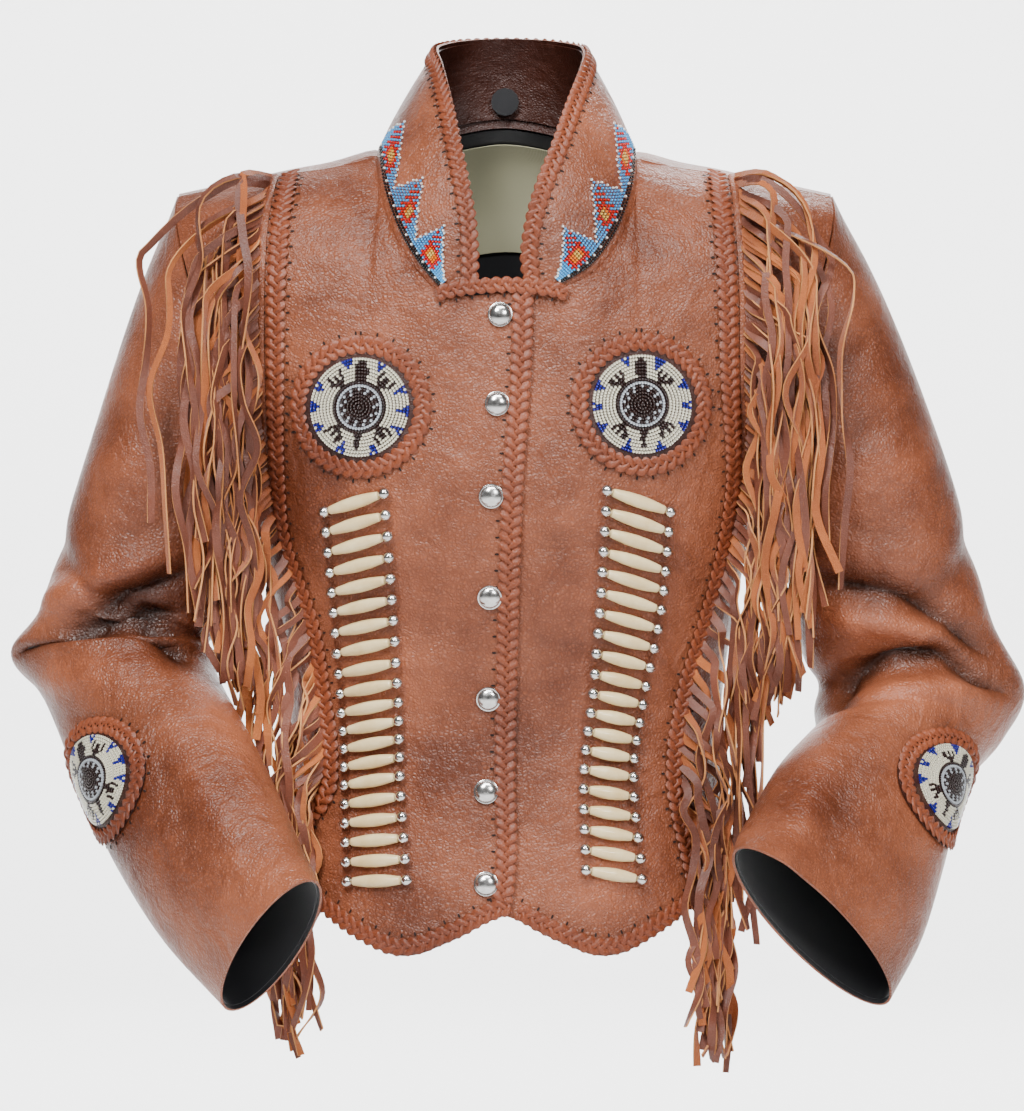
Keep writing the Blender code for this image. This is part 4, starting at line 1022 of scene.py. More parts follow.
BONE_SKIN, tree, shader = paint("polished_bone", 0.28)
place = add_node(tree, "ShaderNodeTexCoord", (-900, 0)).outputs["Object"]
cloud = add_node(tree, "ShaderNodeTexNoise", (-600, 0), Vector=place, Scale=70.0, Detail=4.0, Roughness=0.6)
bone = mixed(tree, cloud.outputs["Fac"], (0.60, 0.38, 0.13, 1), (0.95, 0.82, 0.50, 1))
tree.links.new(bone, shader.inputs["Base Color"])
shader.inputs["Coat Weight"].default_value = 0.3

SILVER_SKIN, tree, shader = paint("polished_silver", 0.22, 1.0)
place = add_node(tree, "ShaderNodeTexCoord", (-900, 0)).outputs["Object"]
cloud = add_node(tree, "ShaderNodeTexNoise", (-600, 0), Vector=place, Scale=260.0, Detail=3.0)
metal = mixed(tree, cloud.outputs["Fac"], (0.50, 0.48, 0.46, 1), (0.93, 0.92, 0.90, 1))
tree.links.new(metal, shader.inputs["Base Color"])
tree.links.new(maths(tree, "MULTIPLY", cloud.outputs["Fac"], 0.4), shader.inputs["Roughness"])

BEAD_SKIN, tree, shader = paint("glass_beads", 0.18)
dye = add_node(tree, "ShaderNodeAttribute", (-600, 0))
dye.attribute_name = "dye"
tree.links.new(dye.outputs["Color"], shader.inputs["Base Color"])
shader.inputs["Coat Weight"].default_value = 0.6

print("materials:", len(bpy.data.materials))

# %% [markdown]
# The two fronts, two sides and the back are one hide each. Their folds are few and soft, because
# the jacket is filled out: some pull at the snaps, some at the waist, and the back has its own.

# %% Fronts, sides and back
FRONT_FOLDS = (
    (-30, -250, -75, -262, -1.2, 7),
    (-28, -318, -70, -322, -1.3, 8),
    (-28, -380, -72, -372, -1.3, 8),
    (-30, -350, -95, -345, 1.2, 12),
    (12, -268, 60, -262, -1.3, 7),
    (12, -330, 64, -338, -1.4, 8),
    (14, -392, 66, -384, -1.2, 8),
    (16, -300, 95, -300, 1.2, 12),
    (-150, -60, -95, -100, -1.6, 12),
    (-60, -60, -40, -130, 1.2, 14),
    (150, -55, 100, -105, -1.6, 12),
    (62, -62, 46, -135, 1.2, 14),
    (-118, -395, -60, -408, -1.8, 10),
    (116, -398, 58, -410, -1.8, 10),
    (-100, -455, -60, -500, 1.6, 16),
    (98, -455, 62, -500, 1.6, 16),
)
BACK_FOLDS = (
    (-150, -60, -40, -95, -2.0, 14),
    (150, -70, 50, -100, -2.0, 14),
    (-130, -250, -60, -320, -2.2, 16),
    (130, -240, 55, -310, -2.2, 16),
    (-110, -385, 0, -400, -2.5, 13),
    (110, -380, 10, -405, -2.5, 13),
    (-60, -360, 60, -350, 2.0, 16),
    (-95, -450, -60, -500, 2.0, 18),
    (90, -450, 66, -500, 2.0, 18),
)
panels = {}
for word, side in SIDES.items():
    panels[f"front_{word}"] = finer(front_grid(side), 6, 5)
    panels[f"side_{word}"] = finer(side_grid(side), 6, 5)
panels["back"] = finer(back_grid(), 4, 5)
panel_ways = {}
for name, grid in panels.items():
    ways = away_from_body(grid)
    behind = name == "back"
    grid, heights = folded(grid, ways, BACK_FOLDS if behind else FRONT_FOLDS, -1 if behind else 1)
    panels[name], panel_ways[name] = grid, away_from_body(grid)
    skins = (LEATHER_SKIN, SATIN_SKIN)
    piece = wall(f"leather_{name}", grid, panel_ways[name], LEATHER, *skins, folds=heights)
    cut_piece(piece, "leather", name)

# %% [markdown]
# Each sleeve is one bent tube. Its elbow has the deepest folds on the jacket, drawn as lines seen
# from the front, and the same kind of fold is put on the sides the photograph hides.

# %% Sleeves
SLEEVE_CREASES = {
    "right": (
        (-352, -342, -299, -321, -14.0, 8),
        (-304, -322, -253, -312, -13.0, 8),
        (-258, -313, -222, -310, -11.0, 8),
        (-330, -308, -284, -290, 7.0, 11),
        (-290, -292, -225, -272, 6.0, 11),
        (-300, -312, -262, -300, -5.0, 7),
        (-280, -302, -214, -280, -13.0, 8),
        (-250, -319, -208, -345, -11.0, 8),
        (-338, -362, -250, -345, 5.0, 12),
        (-335, -385, -262, -378, -3.0, 10),
        (-300, -392, -236, -372, -3.0, 12),
        (-262, -262, -222, -240, -3.5, 10),
        (-300, -215, -240, -200, 2.5, 16),
        (-290, -170, -226, -190, -2.5, 12),
        (-262, -110, -214, -150, -2.5, 12),
        (-215, -400, -180, -460, 3.0, 10),
        (-235, -395, -205, -470, -2.5, 10),
    ),
    "left": (
        (212, -288, 268, -295, -13.0, 8),
        (264, -295, 306, -312, -12.0, 8),
        (302, -312, 342, -340, -12.0, 8),
        (224, -314, 298, -324, 7.0, 9),
        (221, -380, 242, -352, -12.0, 8),
        (238, -354, 270, -338, -13.0, 8),
        (266, -338, 304, -338, -13.0, 8),
        (300, -338, 354, -368, -13.0, 8),
        (250, -366, 325, -362, 5.0, 11),
        (262, -392, 330, -396, -3.0, 11),
        (280, -262, 226, -246, -3.5, 10),
        (300, -212, 240, -205, 2.5, 16),
        (292, -168, 228, -192, -2.5, 12),
        (266, -110, 218, -152, -2.5, 12),
        (218, -402, 186, -466, 3.0, 10),
        (240, -400, 206, -474, -2.5, 10),
    ),
}
SLEEVE_BACK_CREASES = (
    (345, -342, 300, -322, -8.0, 9),
    (300, -322, 240, -312, -7.0, 8),
    (326, -312, 262, -292, 5.0, 12),
    (330, -372, 262, -362, -4.5, 9),
    (325, -350, 262, -342, 4.0, 10),
    (280, -255, 222, -238, -3.0, 12),
    (290, -180, 230, -200, -2.5, 13),
)
STATION_CUTS = 13
sleeve_stations = np.linspace(0, 13, 13 * STATION_CUTS + 1)
sleeves, sleeve_ways = {}, {}
for word, side in SIDES.items():
    grid = finer(sleeve_grid(side, sleeve_stations), 1, 6, wrap=True)
    middle = grid.mean(axis=1, keepdims=True)
    ways = away_from(grid, middle, wrap=True)
    grid, heights = folded(grid, ways, SLEEVE_CREASES[word])
    rear = [(side * x0, z0, side * x1, z1, d, b) for x0, z0, x1, z1, d, b in SLEEVE_BACK_CREASES]
    grid, rear_heights = folded(grid, ways, rear, -1)
    heights = heights + rear_heights
    sleeves[word], sleeve_ways[word] = grid, away_from(grid, middle, wrap=True)
    skins = (LEATHER_SKIN, SATIN_SKIN)
    name = f"leather_sleeve_{word}"
    piece = wall(name, grid, sleeve_ways[word], LEATHER, *skins, wrap=True, folds=heights)
    cut_piece(piece, "leather", f"sleeve_{word}")
    end_ways = sleeve_ways[word][-2 * STATION_CUTS :]
    cuff = trimmed(grid[-2 * STATION_CUTS :] - end_ways * (LEATHER / 2 + LINING), "last", 3 * MM)
    piece = wall(f"satin_cuff_{word}", cuff, end_ways, LINING, SATIN_SKIN, SATIN_SKIN, wrap=True)
    dress(piece, "satin", f"cuff_lining_{word}")

# %% [markdown]
# The stand collar opens in a V. It has an outer leather, a smoother facing inside, a satin neck
# lining below it, a bare woven label and a bare round tab.

# %% Collar and neck
TUCK = 4.5 * MM


def tucked(form, ways):
    """The collar with one more row at its foot, which goes down and in behind the neck edge."""
    down = form[:, 0] - form[:, 2]
    down = down / np.linalg.norm(down, axis=-1, keepdims=True)
    foot = form[:, 0] + down * TUCK - ways[:, 0] * 1.4 * MM
    return np.concatenate([foot[:, None], form], axis=1), np.concatenate([ways[:, :1], ways], axis=1)


collar_form = finer(collar_grid(), 6, 10)
collar_ways = away_from(collar_form, np.array([0.0, -0.01, 0.03]))
tucked_form = tucked(collar_form, collar_ways)
piece = wall("leather_collar", *tucked_form, LEATHER, LEATHER_SKIN, FACING_SKIN)
cut_piece(piece, "leather", "collar")
facing_form = finer(collar_grid(LEATHER / 2 + SEAM_GAP + LINING / 2 + 0.5 * MM), 6, 10)
for edge, cut in (("first", 2.0), ("last", 2.0), ("low", 4.0), ("high", 2.5)):
    facing_form = trimmed(facing_form, edge, cut * MM)
facing_ways = away_from(facing_form, np.array([0.0, -0.01, 0.03]))
piece = wall("leather_facing", facing_form, facing_ways, LINING, FACING_SKIN, FACING_SKIN)
cut_piece(piece, "leather", "collar_facing")

back = back_grid()
middle = (back.shape[0] - 1) // 2
reach = NECK_COLUMNS_BACK - 1
pick, rows = slice(middle - reach, middle + reach + 1), slice(SIDE_SEAM_ROWS + 2, None)
lining = back[pick, rows] - away_from_body(back)[pick, rows] * (LEATHER / 2 + 3 * SEAM_GAP + LINING / 2)
lining = finer(trimmed(lining, "high", 3 * MM), 5, 5)
lining_ways = away_from_body(lining)
piece = wall("satin_neck", lining, lining_ways, LINING, SATIN_SKIN, SATIN_SKIN)
cut_piece(piece, "satin", "neck_lining")
label_ways = lining_ways[5:-5, -16:-2]
label = lining[5:-5, -16:-2] - label_ways * (LINING + 1 * MM)
dress(wall("label_bare", label, label_ways, 0.8 * MM, CREAM_SKIN, CREAM_SKIN), "cream", "label")
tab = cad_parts["size_tab"]
tab.data.materials.clear()
tab.data.materials.append(SATIN_SKIN)

# %% [markdown]
# The lacing is a flat plait of three thin thongs. Each thong swings from side to side like a sine
# and goes over and under twice as often, a third of a turn apart, which is how a plait crosses.

# %% Plaits
def even_path(points, ways, step):
    """The same line in even steps of its length, with its normals."""
    gaps = np.linalg.norm(np.diff(points, axis=0), axis=-1)
    keep = np.concatenate([[True], gaps > 1e-6])
    points, ways = points[keep], ways[keep]
    run = np.concatenate([[0], np.cumsum(np.linalg.norm(np.diff(points, axis=0), axis=-1))])
    at = np.linspace(0, run[-1], max(int(run[-1] / step), 4))
    line = np.stack([np.interp(at, run, points[:, k]) for k in range(3)], axis=-1)
    way = np.stack([np.interp(at, run, ways[:, k]) for k in range(3)], axis=-1)
    return line, way / np.linalg.norm(way, axis=-1, keepdims=True), at


def tube(path, wide, high, half_wide, half_high, sides=6):
    """Rings round a path: wide * cos + high * sin of the turn."""
    turn = np.arange(sides) / sides * 2 * math.pi
    return (
        path[..., None, :]
        + wide[..., None, :] * (half_wide * np.cos(turn))[:, None]
        + high[..., None, :] * (half_high * np.sin(turn))[:, None]
    )


def tube_faces(count, rings, sides, start=0):
    """Quads of several tubes laid one after the other, with their end caps."""
    quads = grid_quads(rings, sides, wrap=True)
    shift = (np.arange(count) * rings * sides + start)[:, None, None]
    faces = (quads[None] + shift).reshape(-1, 4).tolist()
    ends = np.arange(sides)
    for k in range(count):
        first = start + k * rings * sides
        faces.append((ends[::-1] + first).tolist())
        faces.append((ends + first + (rings - 1) * sides).tolist())
    return faces


def outward_faces(made):
    """Turns each closed part's faces outwards."""
    shape = bmesh.new()
    shape.from_mesh(made.data)
    bmesh.ops.recalc_face_normals(shape, faces=shape.faces)
    shape.to_mesh(made.data)
    shape.free()
    made.data.update()
    return made


def slot_shade_ovals(name, line, way, wide, offset, pitch, slot):
    """Small dark ovals on the leather beside a plait, where its loops go through: painted shade of the
    lacing slots.
    """
    step = max(int(round(pitch / 2 / 0.0014)), 1)
    middle, across, out = line[::step] + wide[::step] * offset, wide[::step], way[::step]
    along = np.cross(out, across)
    turn = np.arange(8) / 8 * 2 * math.pi
    lift = out * (LEATHER / 2 + 0.12 * MM)
    rim = (
        middle[:, None]
        + lift[:, None]
        + across[:, None] * (1.5 * MM * np.cos(turn))[None, :, None]
        + along[:, None] * (0.75 * MM * np.sin(turn))[None, :, None]
    )
    rings = np.stack([rim, rim + out[:, None] * 0.25 * MM], axis=1)
    made = shown(name, rings, tube_faces(len(middle), 2, 8), [SLOT_SHADE_SKIN], sharp=40)
    return dress(outward_faces(made), slot)


def plait(name, points, ways, width, lift, slot, nodes, pitch=0.021, holes=(), skin=None):
    """Three thongs: side swing A sin(t), height B sin(2t), each a third of a turn behind the last."""
    line, way, at = even_path(points, ways, 0.0014)
    along = np.gradient(line, axis=0)
    along = along / np.linalg.norm(along, axis=-1, keepdims=True)
    wide = np.cross(way, along)
    t = at[None] / pitch * 2 * math.pi + np.arange(3)[:, None] * 2 * math.pi / 3
    swing = (width / 2 - width * 0.19) * np.sin(t)
    height = lift + 0.75 * MM * np.sin(2 * t)
    path = line[None] + wide[None] * swing[..., None] + way[None] * height[..., None]
    flat_wide, flat_way = np.broadcast_to(wide, path.shape), np.broadcast_to(way, path.shape)
    rings = tube(path, flat_wide, flat_way, width * 0.21, 0.85 * MM, 8)
    made = shown(name, rings, tube_faces(3, len(line), 8), [skin or LACE_SKIN], sharp=80)
    outward_faces(made)
    for k, sign in enumerate(holes):
        slot_shade_ovals(f"{name}_slot_shade_{k + 1}", line, way, wide, sign * (width / 2 + 1.6 * MM), pitch, slot)
    return dress(made, slot, *nodes)


def seat(grid, across, along, n=None):
    """Points on a panel's own facets, and the outward normals there."""
    n = outward(grid) if n is None else n
    columns, rows = grid.shape[0] - 1, grid.shape[1] - 1
    across = np.clip(across, 0, columns)
    along = np.clip(along, 0, rows)
    i = np.minimum(across.astype(int), columns - 1)
    j = np.minimum(along.astype(int), rows - 1)
    s, t = (across - i)[..., None], (along - j)[..., None]

    def blend(values):
        near = values[i, j] * (1 - s) + values[i + 1, j] * s
        far = values[i, j + 1] * (1 - s) + values[i + 1, j + 1] * s
        return near * (1 - t) + far * t

    normal = blend(n)
    return blend(grid), normal / np.linalg.norm(normal, axis=-1, keepdims=True)


def chest_point(x, height, lift):
    """Point of the front at x and a height, moved out along the normal by lift."""
    x, height = np.broadcast_arrays(np.asarray(x, float), np.asarray(height, float))
    step = 1 * MM

    def at(px, pz):
        line = chart(np.abs(px), pz)
        point = torso(line[..., 0], line[..., 1])
        return np.stack([px, point[..., 1], pz], axis=-1)

    here = at(x, height)
    n = np.cross(at(x + step, height) - here, at(x, height + step) - here)
    n = n / np.linalg.norm(n, axis=-1, keepdims=True)
    return here + n * lift, n


def pinned(x, height, lift):
    """A point on the folded front, and the normal there."""
    point, way = chest_point(x, height, 0.0)
    rise = fold_height(point.reshape(1, -1, 3), way.reshape(1, -1, 3), FRONT_FOLDS, 1)
    return point + way * (rise.reshape(point.shape[:-1]) + lift)[..., None], way


# %% [markdown]
# Plaits cover the two princess seams, the hem, the front edge that lies on top, the neck below the
# collar and the collar's free edge. They lie just above the leather, beside a row of dark ovals
# that are painted shade for the slots.

# %% Plaits on the edges and seams
TRIM_LIFT = LEATHER / 2 + 1.6 * MM
BRAID = 14.5 * MM
for word, side in SIDES.items():
    front, ways = panels[f"front_{word}"], panel_ways[f"front_{word}"]
    flank, flank_ways = panels[f"side_{word}"], panel_ways[f"side_{word}"]
    seam = (front[-1] + flank[0]) / 2
    seam_ways = ways[-1] + flank_ways[0]
    nodes = [f"braid_seam_{word}"]
    plait(f"plait_seam_{word}", seam, seam_ways, BRAID, TRIM_LIFT, "braid", nodes, holes=(1, -1))
    hem = front[:, 0]
    inward = front[:, 4] - front[:, 0]
    inward = inward / np.linalg.norm(inward, axis=-1, keepdims=True)
    keep = slice(0, None) if word == "right" else slice(12, None)
    line, line_ways = (hem + inward * 6 * MM)[keep], ways[:, 0][keep]
    nodes = [f"braid_hem_{word}"]
    plait(f"plait_hem_{word}", line, line_ways, BRAID * 0.85, TRIM_LIFT, "braid", nodes, holes=(side,))
front, ways = panels["front_right"], panel_ways["front_right"]
inward = front[4] - front[0]
inward = inward / np.linalg.norm(inward, axis=-1, keepdims=True)
line = (front[0] + inward * 7 * MM)[2:]
plait("plait_front", line, ways[0][2:], BRAID, TRIM_LIFT, "braid", ["braid_front_edge"], holes=(1,))
NECK_LINE = ((-45, -94), (-33, -91), (-18, -89), (0, -88), (18, -89), (33, -91), (42, -94))
neck_x, neck_z = np.array(NECK_LINE).T * MM
NECK_STEPS = np.linspace(0, 1, 60)
neck_x = np.interp(NECK_STEPS * 6, np.arange(7), neck_x)
neck_z = np.interp(NECK_STEPS * 6, np.arange(7), neck_z)
line, ways = pinned(neck_x, neck_z, 1.2 * MM)
plait("plait_neck", line, ways, 11 * MM, TRIM_LIFT, "braid", [], holes=(-1,))
below = collar_form[:, -6] - collar_form[:, -1]
below = below / np.linalg.norm(below, axis=-1, keepdims=True)
line = collar_form[:, -1] + below * 6 * MM
plait("plait_collar", line, collar_ways[:, -1], 12.5 * MM, TRIM_LIFT, "braid", ["braid_collar"], holes=(1,))

# %% [markdown]
# Seed beads are laid in rows. A bead is a small flattened ball with few faces, copied by adding
# arrays, and its colour is an attribute, so that one material serves every bead on the jacket.

# %% Beads
def beads(name, centres, ways, radius, colors, slot, nodes, flat=0.75):
    """One joined mesh of small balls at the centres, flattened along the normals."""
    sides, rings = 7, 4
    polar = np.linspace(0, math.pi, rings + 1)[1:-1]
    turn = np.arange(sides) / sides * 2 * math.pi
    ball = np.stack(
        [
            np.sin(polar)[:, None] * np.cos(turn),
            np.sin(polar)[:, None] * np.sin(turn),
            np.repeat(np.cos(polar)[:, None], sides, axis=1),
        ],
        axis=-1,
    ).reshape(-1, 3)
    ball = np.concatenate([[[0, 0, 1.0]], ball, [[0, 0, -1.0]]])
    size = len(ball)
    quads = (grid_quads(rings - 1, sides, wrap=True) + 1)[:, ::-1]
    k = np.arange(sides)
    top = np.stack([np.zeros(sides, int), 1 + k, 1 + (k + 1) % sides], axis=-1)
    last = size - 1
    low = np.stack([np.full(sides, last), last - sides + (k + 1) % sides, last - sides + k], axis=-1)
    helper = np.where(np.abs(ways[:, 2:3]) < 0.9, [[0.0, 0.0, 1.0]], [[1.0, 0.0, 0.0]])
    a = np.cross(helper, ways)
    a = a / np.linalg.norm(a, axis=-1, keepdims=True)
    b = np.cross(ways, a)
    across = ball[None, :, 0:1] * a[:, None] + ball[None, :, 1:2] * b[:, None]
    points = centres[:, None] + radius * (across + flat * ball[None, :, 2:3] * ways[:, None])
    shift = (np.arange(len(centres)) * size)[:, None, None]
    faces = (quads[None] + shift).reshape(-1, 4).tolist()
    faces += (top[None] + shift).reshape(-1, 3).tolist() + (low[None] + shift).reshape(-1, 3).tolist()
    made = shown(name, points, faces, [BEAD_SKIN], sharp=180)
    dye = made.data.color_attributes.new("dye", "FLOAT_COLOR", "POINT")
    rgba = np.concatenate([colors, np.ones((len(colors), 1))], axis=1)
    dye.data.foreach_set("color", np.repeat(rgba, size, axis=0).astype(np.float32).ravel())
    return dress(made, slot, *nodes)


# %% [markdown]
# A rosette is sewn in rings round its middle. The colour of a bead follows from its place alone:
# a dark shell with bright rings, a head, a tail, four legs with three toes, and ten blue
# triangles that stand on the rim. The colours are worked out from the radius and the angle.

# %% Rosette chart
CREAM_BEAD = (0.95, 0.90, 0.72)
BLUE_BEAD = (0.012, 0.014, 0.30)
DARK_BEAD = (0.030, 0.012, 0.010)
BRIGHT_BEAD = (0.62, 0.66, 0.72)
ROSETTE_DISC = 34.5 * MM
ROSETTE_RING = 48.5 * MM
RING_PITCH = 2.25 * MM
BEAD_PITCH = 1.95 * MM
TILT = {"right": 3.0, "left": -2.0}
TRIANGLES = (-18, 24, 66, 92, 118, 159, 201, 242, 268, 294)
LEGS = (42, 138, 222, 318)


def off_line(degrees, middle):
    """Angle from a middle line, from -180 to 180."""
    return (degrees - middle + 180) % 360 - 180


def rosette_beads():
    """Radius and angle from the top of each bead, ring by ring."""
    radii = np.arange(0.4, ROSETTE_DISC / RING_PITCH, 1.0) * RING_PITCH
    counts = np.maximum(np.round(2 * math.pi * radii / BEAD_PITCH).astype(int), 1)
    radius = np.repeat(radii, counts)
    first = np.repeat(np.cumsum(counts) - counts, counts)
    place = (np.arange(len(radius)) - first) / np.repeat(counts, counts)
    return radius, place * 2 * math.pi


def rosette_colors(radius, angle, tilt):
    """The turtle in its ring of triangles: each patch is where r and the angle meet a simple limit."""
    r = radius / ROSETTE_DISC
    degrees = np.degrees(angle) - tilt
    x, y = r * np.sin(np.radians(degrees)), r * np.cos(np.radians(degrees))
    colors = np.tile(CREAM_BEAD, (len(r), 1))
    ring = np.round(radius / RING_PITCH - 0.4).astype(int)
    spot = np.arange(len(r)) % 3 == 0
    for middle in TRIANGLES:
        turn = off_line(degrees, middle)
        off = np.abs(r * np.sin(np.radians(turn))) + 2 * (np.abs(turn) > 60)
        inside = (r > 0.74) & (off < 0.45 * (r - 0.72))
        colors[inside] = BLUE_BEAD
        colors[inside & (off < 0.05) & (r > 0.88) & spot] = CREAM_BEAD
    head_half = np.where(y < 0.60, 0.085, 0.135 - 1.6 * np.clip(y - 0.76, 0, 1) ** 1.5)
    head = (y > 0.45) & (y < 0.90) & (np.abs(x) < head_half)
    tail = (y < -0.45) & (y > -0.86) & (np.abs(x) < 0.085 - 0.12 * (-0.45 - y))
    dark = (r < 0.52) | head | tail
    for middle in LEGS:
        turn = np.radians(off_line(degrees, middle))
        ahead, aside = r * np.cos(turn), r * np.sin(turn)
        dark |= (ahead > 0.45) & (ahead < 0.66) & (np.abs(aside) < 0.06)
        dark |= (ahead > 0.60) & (ahead < 0.66) & (np.abs(aside) < 0.15)
        for toe in (-0.13, 0.0, 0.13):
            dark |= (ahead > 0.60) & (ahead < 0.80) & (np.abs(aside - toe) < 0.036)
    colors[dark] = DARK_BEAD
    colors[(r < 0.52) & (ring == 6)] = BRIGHT_BEAD
    colors[(r < 0.52) & np.isin(ring, (4, 5)) & spot] = BRIGHT_BEAD
    return colors


# %% [markdown]
# The chart is laid on the chest and on the forearms. A bead's place on the disc, radius and angle,
# is turned into a place on the cloth, so the rosette bends with the leather under it.

# %% Rosettes
# Rosettes: x and height of a chest one, station and angle of a sleeve one
CHEST_ROSETTES = {RIGHT: (-97, -170), LEFT: (92, -168)}
SLEEVE_ROSETTES = {RIGHT: (10.2, 58), LEFT: (10.0, 52)}
PATCH_LIFT = {"chest": 1.6 * MM, "sleeve": 2.2 * MM}


def round_seat(grid, ways, station, angle):
    """Points of a sleeve at fractional stations and angles, all round."""
    rows, columns = grid.shape[:2]
    i = np.clip(station.astype(int), 0, rows - 2)
    j = np.floor(angle).astype(int)
    s, t = (station - i)[..., None], (angle - j)[..., None]
    j, k = j % columns, (j + 1) % columns

    def blend(values):
        here = values[i, j] * (1 - s) + values[i + 1, j] * s
        there = values[i, k] * (1 - s) + values[i + 1, k] * s
        return here * (1 - t) + there * t

    way = blend(ways)
    return blend(grid), way / np.linalg.norm(way, axis=-1, keepdims=True)


def chest_seat(side):
    """A function from place on the patch to a point of the chest and its normal."""
    cx, cz = np.array(CHEST_ROSETTES[side]) * MM

    def at(radius, angle):
        return pinned(cx + radius * np.sin(angle), cz + radius * np.cos(angle), 0.0)

    return at


def arm_seat(word):
    """A function from place on the patch to a point of the forearm and its normal."""
    station, angle = SLEEVE_ROSETTES[SIDES[word]]
    grid, ways = sleeves[word], sleeve_ways[word]
    columns = grid.shape[1]
    i, j = station * STATION_CUTS, angle / 360 * columns
    step_i = np.linalg.norm(grid[int(i) + 1, int(j)] - grid[int(i), int(j)])
    step_j = np.linalg.norm(grid[int(i), int(j) + 1] - grid[int(i), int(j)])

    def at(radius, turn):
        return round_seat(grid, ways, i - radius * np.cos(turn) / step_i, j + radius * np.sin(turn) / step_j)

    return at


for word, side in SIDES.items():
    for where, at in (("chest", chest_seat(side)), ("sleeve", arm_seat(word))):
        radius, angle = rosette_beads()
        point, way = at(radius, angle)
        base = LEATHER / 2 + PATCH_LIFT[where]
        dome = 1.2 * MM * (1 - (radius / ROSETTE_DISC) ** 2)
        centres = point + way * (base + dome + 0.6 * MM)[:, None]
        colors = rosette_colors(radius, angle, TILT[word])
        nodes = [f"rosette_{where}_{word}"]
        beads(f"rosette_beads_{where}_{word}", centres, way, RING_PITCH * 0.52, colors, "beads", nodes)
        turn = np.linspace(0, 2 * math.pi, 97)
        patch_r = np.linspace(0.02, 1.0, 8)[:, None] * (ROSETTE_RING - 1.5 * MM)
        patch, patch_way = at(patch_r + 0 * turn[None, :-1], turn[None, :-1] + 0 * patch_r)
        lifted = patch + patch_way * (base - 0.8 * MM)
        name = f"rosette_patch_{where}_{word}"
        dress(wall(name, lifted, patch_way, 1.2 * MM, FACING_SKIN, FACING_SKIN, wrap=True), "beads")
        ring, ring_way = at(np.full_like(turn, (ROSETTE_DISC + ROSETTE_RING) / 2 + 0.6 * MM), turn)
        name, lift = f"rosette_plait_{where}_{word}", base + 0.3 * MM
        plait(name, ring, ring_way, 12.5 * MM, lift, "braid", [], pitch=0.0207, holes=(1,))

# %% [markdown]
# Snaps are domed metal caps. Their outline is turned round its own axis, and each stands on the
# leather along its normal.

# %% Snaps
# Snaps down the front: x, height
SNAPS = (
    (-3, -108),
    (-5, -168),
    (-9, -230),
    (-10, -298),
    (-11, -367),
    (-12.5, -430),
    (-12.5, -492),
)
SNAP_OUTLINE = np.array(
    [(0.0, 5.2), (2.2, 5.05), (4.4, 4.5), (6.0, 3.7), (7.0, 2.8), (7.3, 2.3), (7.7, 2.4), (8.2, 2.2)]
    + [(8.5, 1.5), (8.3, 0.5), (7.6, 0.0), (0.0, 0.0)]
) * MM


def turned(outline, origin, way, sides):
    """Rings of an outline of radius and height about a normal at a point."""
    helper = np.array([0.0, 0.0, 1.0])
    a = np.cross(helper, way)
    a = a / np.linalg.norm(a)
    b = np.cross(way, a)
    turn = np.arange(sides) / sides * 2 * math.pi
    spoke = a * np.cos(turn)[:, None] + b * np.sin(turn)[:, None]
    return origin + outline[:, 0, None, None] * spoke[None] + outline[:, 1, None, None] * way


for k, (x, height) in enumerate(SNAPS):
    point, way = pinned(x * MM, height * MM, LEATHER / 2)
    outline = SNAP_OUTLINE.copy()
    outline[[0, -1], 0] = 0.02 * MM
    rings = turned(outline, point, way, 32)
    made = shown(f"snap_cap_{k + 1}", rings, tube_faces(1, len(outline), 32), [SILVER_SKIN], sharp=40)
    dress(outward_faces(made), "silver", f"snap_{k + 1}")

# %% [markdown]
# The bone tubes are called hairpipes: they swell in the middle and are strung in pairs, with a
# round metal bead at each end. The whole column is one array of outlines.

# %% Hairpipes
# Hairpipe columns: row, x of the left end, height of the left end, x and height of the right end
PIPES_RIGHT = (
    (0, -120, -240, -80, -228),
    (5, -114, -308, -75, -299),
    (10, -109, -377, -71, -369),
    (14, -107, -427, -70, -420),
    (19, -105, -492, -65, -490),
)
PIPES_LEFT = (
    (0, 68, -226, 110, -240),
    (5, 64, -294, 104, -306),
    (10, 59, -363, 92, -371),
    (14, 53, -415, 86, -421),
    (19, 54, -483, 91, -490),
)
PIPE_ROWS = 20
BONE_OUTLINE = np.array(
    [(0.0, 1.4), (0.01, 2.7), (0.03, 2.9), (0.12, 3.4), (0.3, 4.2), (0.5, 4.5)]
    + [(0.7, 4.2), (0.88, 3.4), (0.97, 2.9), (0.99, 2.7), (1.0, 1.4)]
)
BEAD_OUTLINE = np.array(
    [(0.0, 0.8), (0.06, 2.0), (0.25, 3.5), (0.5, 4.1), (0.75, 3.5), (0.94, 2.0), (1.0, 0.8)]
)
BEAD_HALF = 4.1 * MM
TUBE_INSET = 4.2 * MM
PIPE_LIFT = LEATHER / 2 + 4.0 * MM


